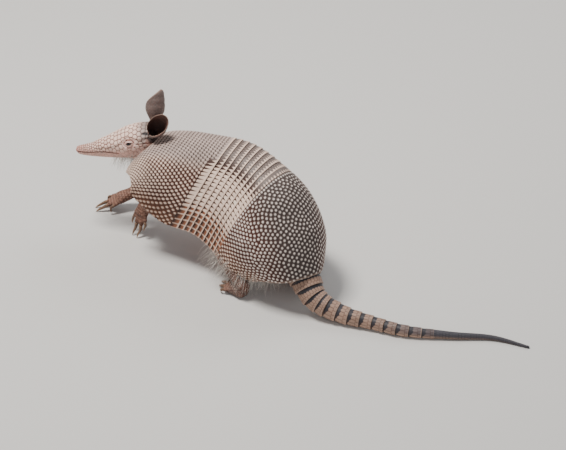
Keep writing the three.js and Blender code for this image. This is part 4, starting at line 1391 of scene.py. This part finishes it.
def ear_mesh(side):
    """A leaf rolled into a cup, thin at its edges, with a few folds inside."""
    mesh, up, over, is_outer = plate("ear")
    back, out, slant = EAR_POSE[side]
    lengthwise = 1 - slant * np.abs(over) ** 1.5
    height = EAR_LENGTH * lengthwise * mix(-0.10, 0.997, up)
    share = height / EAR_LENGTH
    flare = mix(EAR_ROOT, EAR_CUP, smooth(share, 0, EAR_WIDEST))
    edge = np.minimum(1 - np.abs(over), 1 - up)
    thick = EAR_THICK * mix(0.5, 1.0, smooth(edge, 0.0, 0.14))
    radius = flare * (1 - EAR_DRAW * np.clip(share, 0, 1) ** 5)
    folds = np.sin(share * 34 + 2 * over) * smooth(share, 0.1, 0.3) * (1 - np.abs(over))
    radius = radius - np.where(is_outer > 0.5, 0.1, thick) - 0.21 * folds
    radius = radius - 0.2 * fade(edge, 0, 0.05)
    turn = np.radians(180 - EAR_TURN + over * EAR_WRAP)
    local = vec(radius * np.cos(turn), side * radius * np.sin(turn), height)
    local = local @ (turned("x", -side * out) @ turned("y", -back)).T
    place = on_head(local[:, 0] + EAR_AHEAD, local[:, 1] + side * EAR_ASIDE,
                    local[:, 2] + EAR_ABOVE)
    set_coords(mesh, place)
    rim = fade(edge, 0.0, 0.05)
    outside = mix(EAR_GREY, GREY_TOP * 0.7, smooth(share, 0.35, 0.0))
    inside = mix(EAR_DEEP, EAR_FLESH, smooth(share, 0.1, 0.8) * 0.6)
    pebble = np.sin(over * 46 + np.sin(share * 61)) * np.sin(share * 74 + np.sin(over * 37))
    outside = outside * (1 + 0.25 * smooth(pebble, 0.0, 0.5))[:, None]
    colour = mix(mix(inside, outside, is_outer), EAR_RIM, rim * 0.8)
    colour = uneven(colour, place, 0.07, 9, 8)
    paint(mesh, colour)
    return mesh


def with_ears(mesh):
    """Adds the ears to the skin's mesh."""
    bm = bmesh.new()
    bm.from_mesh(mesh)
    for side in (1, -1):
        ear = ear_mesh(side)
        bm.from_mesh(ear)
        bpy.data.meshes.remove(ear)
    bm.to_mesh(mesh)
    bm.free()


# ---- Hairs ----

UV_PATCH = 0.003  # the width of each hair's patch of the OFBake map
APART = 4  # between hairs while they are made, stacked along z
DROOP, BENT = 0.32, 0.16  # shares of a hair's length


def inside_box(roots, tips):
    """The share of its sideways reach that each hair keeps, so that it stays in the model's box."""
    low, high = (side[1] / MM - ORIGIN[1] for side in SIZE_AT_START)
    room = np.where(tips[:, 1] < 0, roots[:, 1] - low, high - roots[:, 1]) - 1.0
    return np.clip(room / np.maximum(np.abs(tips[:, 1]), 0.1), 0, 1)


def copies(count):
    """One mesh of many thin closed tubes stacked along z."""
    obj = into_scene("hairs", from_bmesh(tube(3, 6), "hairs"))
    array = obj.modifiers.new("many", "ARRAY")
    array.use_relative_offset = False
    array.use_constant_offset = True
    array.constant_offset_displace = (0, 0, APART)
    array.count = count
    return finished(obj)


def strands(roots, ways, lengths, widths, uv):
    """Thin closed hairs, each from its root and drooping along its way."""
    bends = np.random.default_rng(43).normal(0, BENT, (len(roots), 3))
    kept = inside_box(roots, (ways + bends) * lengths[:, None])
    ways, bends = ways.copy(), bends.copy()
    ways[:, 1] *= kept
    bends[:, 1] *= kept
    mesh = copies(len(roots))
    x, y, z = coords(mesh).T
    which = np.clip(np.floor((z + APART / 2) / APART).astype(int), 0, len(roots) - 1)
    along = np.arccos(-np.clip(z - APART * which, -1, 1)) / math.pi
    turn = np.arctan2(y, x)
    way, length = ways[which], lengths[which]
    side = unit(np.cross(way, (0.2, 0.1, 0.97)))
    radius = widths[which] * (1 - 0.85 * along) * (np.hypot(x, y) > 1e-4)
    bend = bends[which] * (length * along ** 2)[:, None]
    place = (roots[which] + way * (length * along)[:, None] + bend
             + side * (radius * np.cos(turn))[:, None]
             + np.cross(way, side) * (radius * np.sin(turn))[:, None])
    place[:, 2] += -DROOP * length * along ** 2
    set_coords(mesh, above_floor(place, HAIR_GAP))
    tone = shades(len(roots), 41, 0.12)[which][:, None]
    paint(mesh, mix(HAIR_ROOT, HAIR_TIP, smooth(along, 0.0, 0.4)) * tone)
    layer = mesh.uv_layers.new(name="OFBake")
    corner = np.empty(len(mesh.loops), int)
    mesh.loops.foreach_get("vertex_index", corner)
    patch = UV_PATCH * np.stack((along[corner], 0.5 + turn[corner] / 7), axis=1)
    layer.data.foreach_set("uv", (uv[which[corner]] + patch).astype(np.float32).ravel())
    return mesh


def hairs(skin_mesh):
    """Sparse pale hairs on the legs, along the belly's edge, on the cheeks and below the jaw."""
    points, normal = millimetres(skin_mesh), normals(skin_mesh)
    ahead, aside, above = to_head(points)
    rng = np.random.default_rng(17)
    x, _, z = points.T
    body = (ahead < -10) & (z > 14)
    face = (ahead > -16) & (np.abs(aside) < 30)
    outside = np.sign(points[:, 1] - 20)
    groups = (  # where, how many, lengths, thickness, forward, outward and upward lean, spread
        (body & (z < 78) & (x < 150), 900, (5, 11), 0.09, (0.3, 0.3, -0.8), 0.3),
        (body & (z < 60) & (x > 165), 1100, (7, 15), 0.13, (0.1, 0.4, -0.6), 0.55),
        (body & within(z, 30, 62) & within(x, 150, 205), 420, (20, 36), 0.17,
         (-0.55, 0.45, -0.75), 0.2),
        (body & within(z, 26, 58) & within(x, 205, 262), 420, (14, 28), 0.17,
         (0.1, 0.5, -0.8), 0.3),
        (face & (ahead < 36) & within(above, -34, -6), 500, (4, 8), 0.07,
         (0.5, 0.1, -0.5), 0.25),
        (face & within(ahead, 16, 58) & within(above, -36, -13), 240, (10, 20), 0.26,
         (-0.5, 0.1, -0.85), 0.16))
    chosen, ways, lengths, widths = [], [], [], []
    for where, count, (short, long), width, lean, spread in groups:
        picked = rng.choice(np.nonzero(where)[0], count, replace=False)
        way = np.array(lean) * vec(1, outside[picked], 1)
        chosen.append(picked)
        ways.append(unit(way + 0.45 * normal[picked] + rng.normal(0, spread, (count, 3))))
        lengths.append(rng.uniform(short, long, count) * np.where(z[picked] < 25, 0.6, 1.0))
        widths.append(np.full(count, width))
    chosen = np.concatenate(chosen)
    root = points[chosen]
    # an unwrap of the skin: along the body one way, round it the other, and the head apart
    turn = np.arctan2(root[:, 1] - 5, root[:, 2] - 60) / (2 * math.pi) + 0.5
    on_head_u = 0.80 + (ahead[chosen] + 20) / 400
    u = np.where(ahead[chosen] > -16, on_head_u, np.clip((root[:, 0] + 70) / 480, 0, 0.78))
    uv = np.stack((u, np.clip(turn, 0.02, 0.98)), axis=1)
    mesh = strands(root - normal[chosen] * 0.3, np.concatenate(ways), np.concatenate(lengths),
                   np.concatenate(widths), uv)
    return piece("hairs", mesh, HAIR)


# ---- Building ----

scapular_shield()
for number in range(BAND_COUNT):
    band(number)
pelvic_shield()
head_shield()
eye("eye_left", 1)
eye("eye_right", -1)
for piece_name, lengths in TAIL_PIECES.items():
    tail_length(piece_name, *lengths)
tail_tip()
for leg_name, leg_table in LEGS.items():
    claws(leg_name, leg_table)
skin_piece = skin()
hairs(skin_piece.data)

# ---- Floor, light and camera ----

def floor():
    bm = bmesh.new()
    bmesh.ops.create_grid(bm, x_segments=1, y_segments=1, size=6)
    mesh = from_bmesh(bm, "floor")
    obj = into_scene("floor", mesh)
    made = bpy.data.materials.new("pale floor")
    made.use_nodes = True
    shader = made.node_tree.nodes["Principled BSDF"]
    shader.inputs["Base Color"].default_value = (0.66, 0.65, 0.63, 1)
    shader.inputs["Roughness"].default_value = 0.9
    mesh.materials.append(made)


LIGHTS = (  # name, place, the height it is turned to, size, watts and colour
    ("key", (-0.8, -0.3, 2.2), 0.08, 0.62, 68, (1.0, 0.96, 0.91)),
    ("fill", (1.6, -1.2, 1.2), 0.08, 1.6, 8, (0.95, 0.97, 1.0)),
    ("back", (0.2, 1.7, 1.5), 0.1, 1.2, 16, (1, 1, 1)),
)


def area(name, place, height, size, watts, colour):
    light = bpy.data.lights.new(name, "AREA")
    light.size = size
    light.energy = watts
    light.color = colour
    obj = into_scene(name, light)
    obj.location = place
    way = Vector((0, 0, height)) - Vector(place)
    obj.rotation_euler = way.to_track_quat("-Z", "Y").to_euler()


floor()
for light_table in LIGHTS:
    area(*light_table)
world = bpy.data.worlds.new("studio")
world.use_nodes = True
world.node_tree.nodes["Background"].inputs["Color"].default_value = (0.86, 0.88, 0.92, 1)
world.node_tree.nodes["Background"].inputs["Strength"].default_value = 0.28
bpy.context.scene.world = world

AZIMUTH, ELEVATION, DISTANCE, LENS = math.radians(38.15), math.radians(36.62), 3.6, 163.2
AIM = (np.array((144.4, 20.6, 80.0)) + ORIGIN) * MM
AIM_LEFT, AIM_UP = 0.0975, 0.0265  # of the aim from the picture's middle, as shares of its width
view_right = np.array((math.cos(AZIMUTH), math.sin(AZIMUTH), 0))
toward = np.array((math.sin(AZIMUTH) * math.cos(ELEVATION),
                   -math.cos(AZIMUTH) * math.cos(ELEVATION), math.sin(ELEVATION)))
camera = into_scene("camera", bpy.data.cameras.new("camera"))
axes = Matrix((view_right, np.cross(toward, view_right), toward)).transposed().to_4x4()
camera.matrix_world = Matrix.Translation(Vector(AIM + toward * DISTANCE)) @ axes
camera.data.lens = LENS
camera.data.sensor_width = 36
camera.data.shift_x, camera.data.shift_y = AIM_LEFT, -AIM_UP
camera.data.clip_end = 50
bpy.context.scene.camera = camera
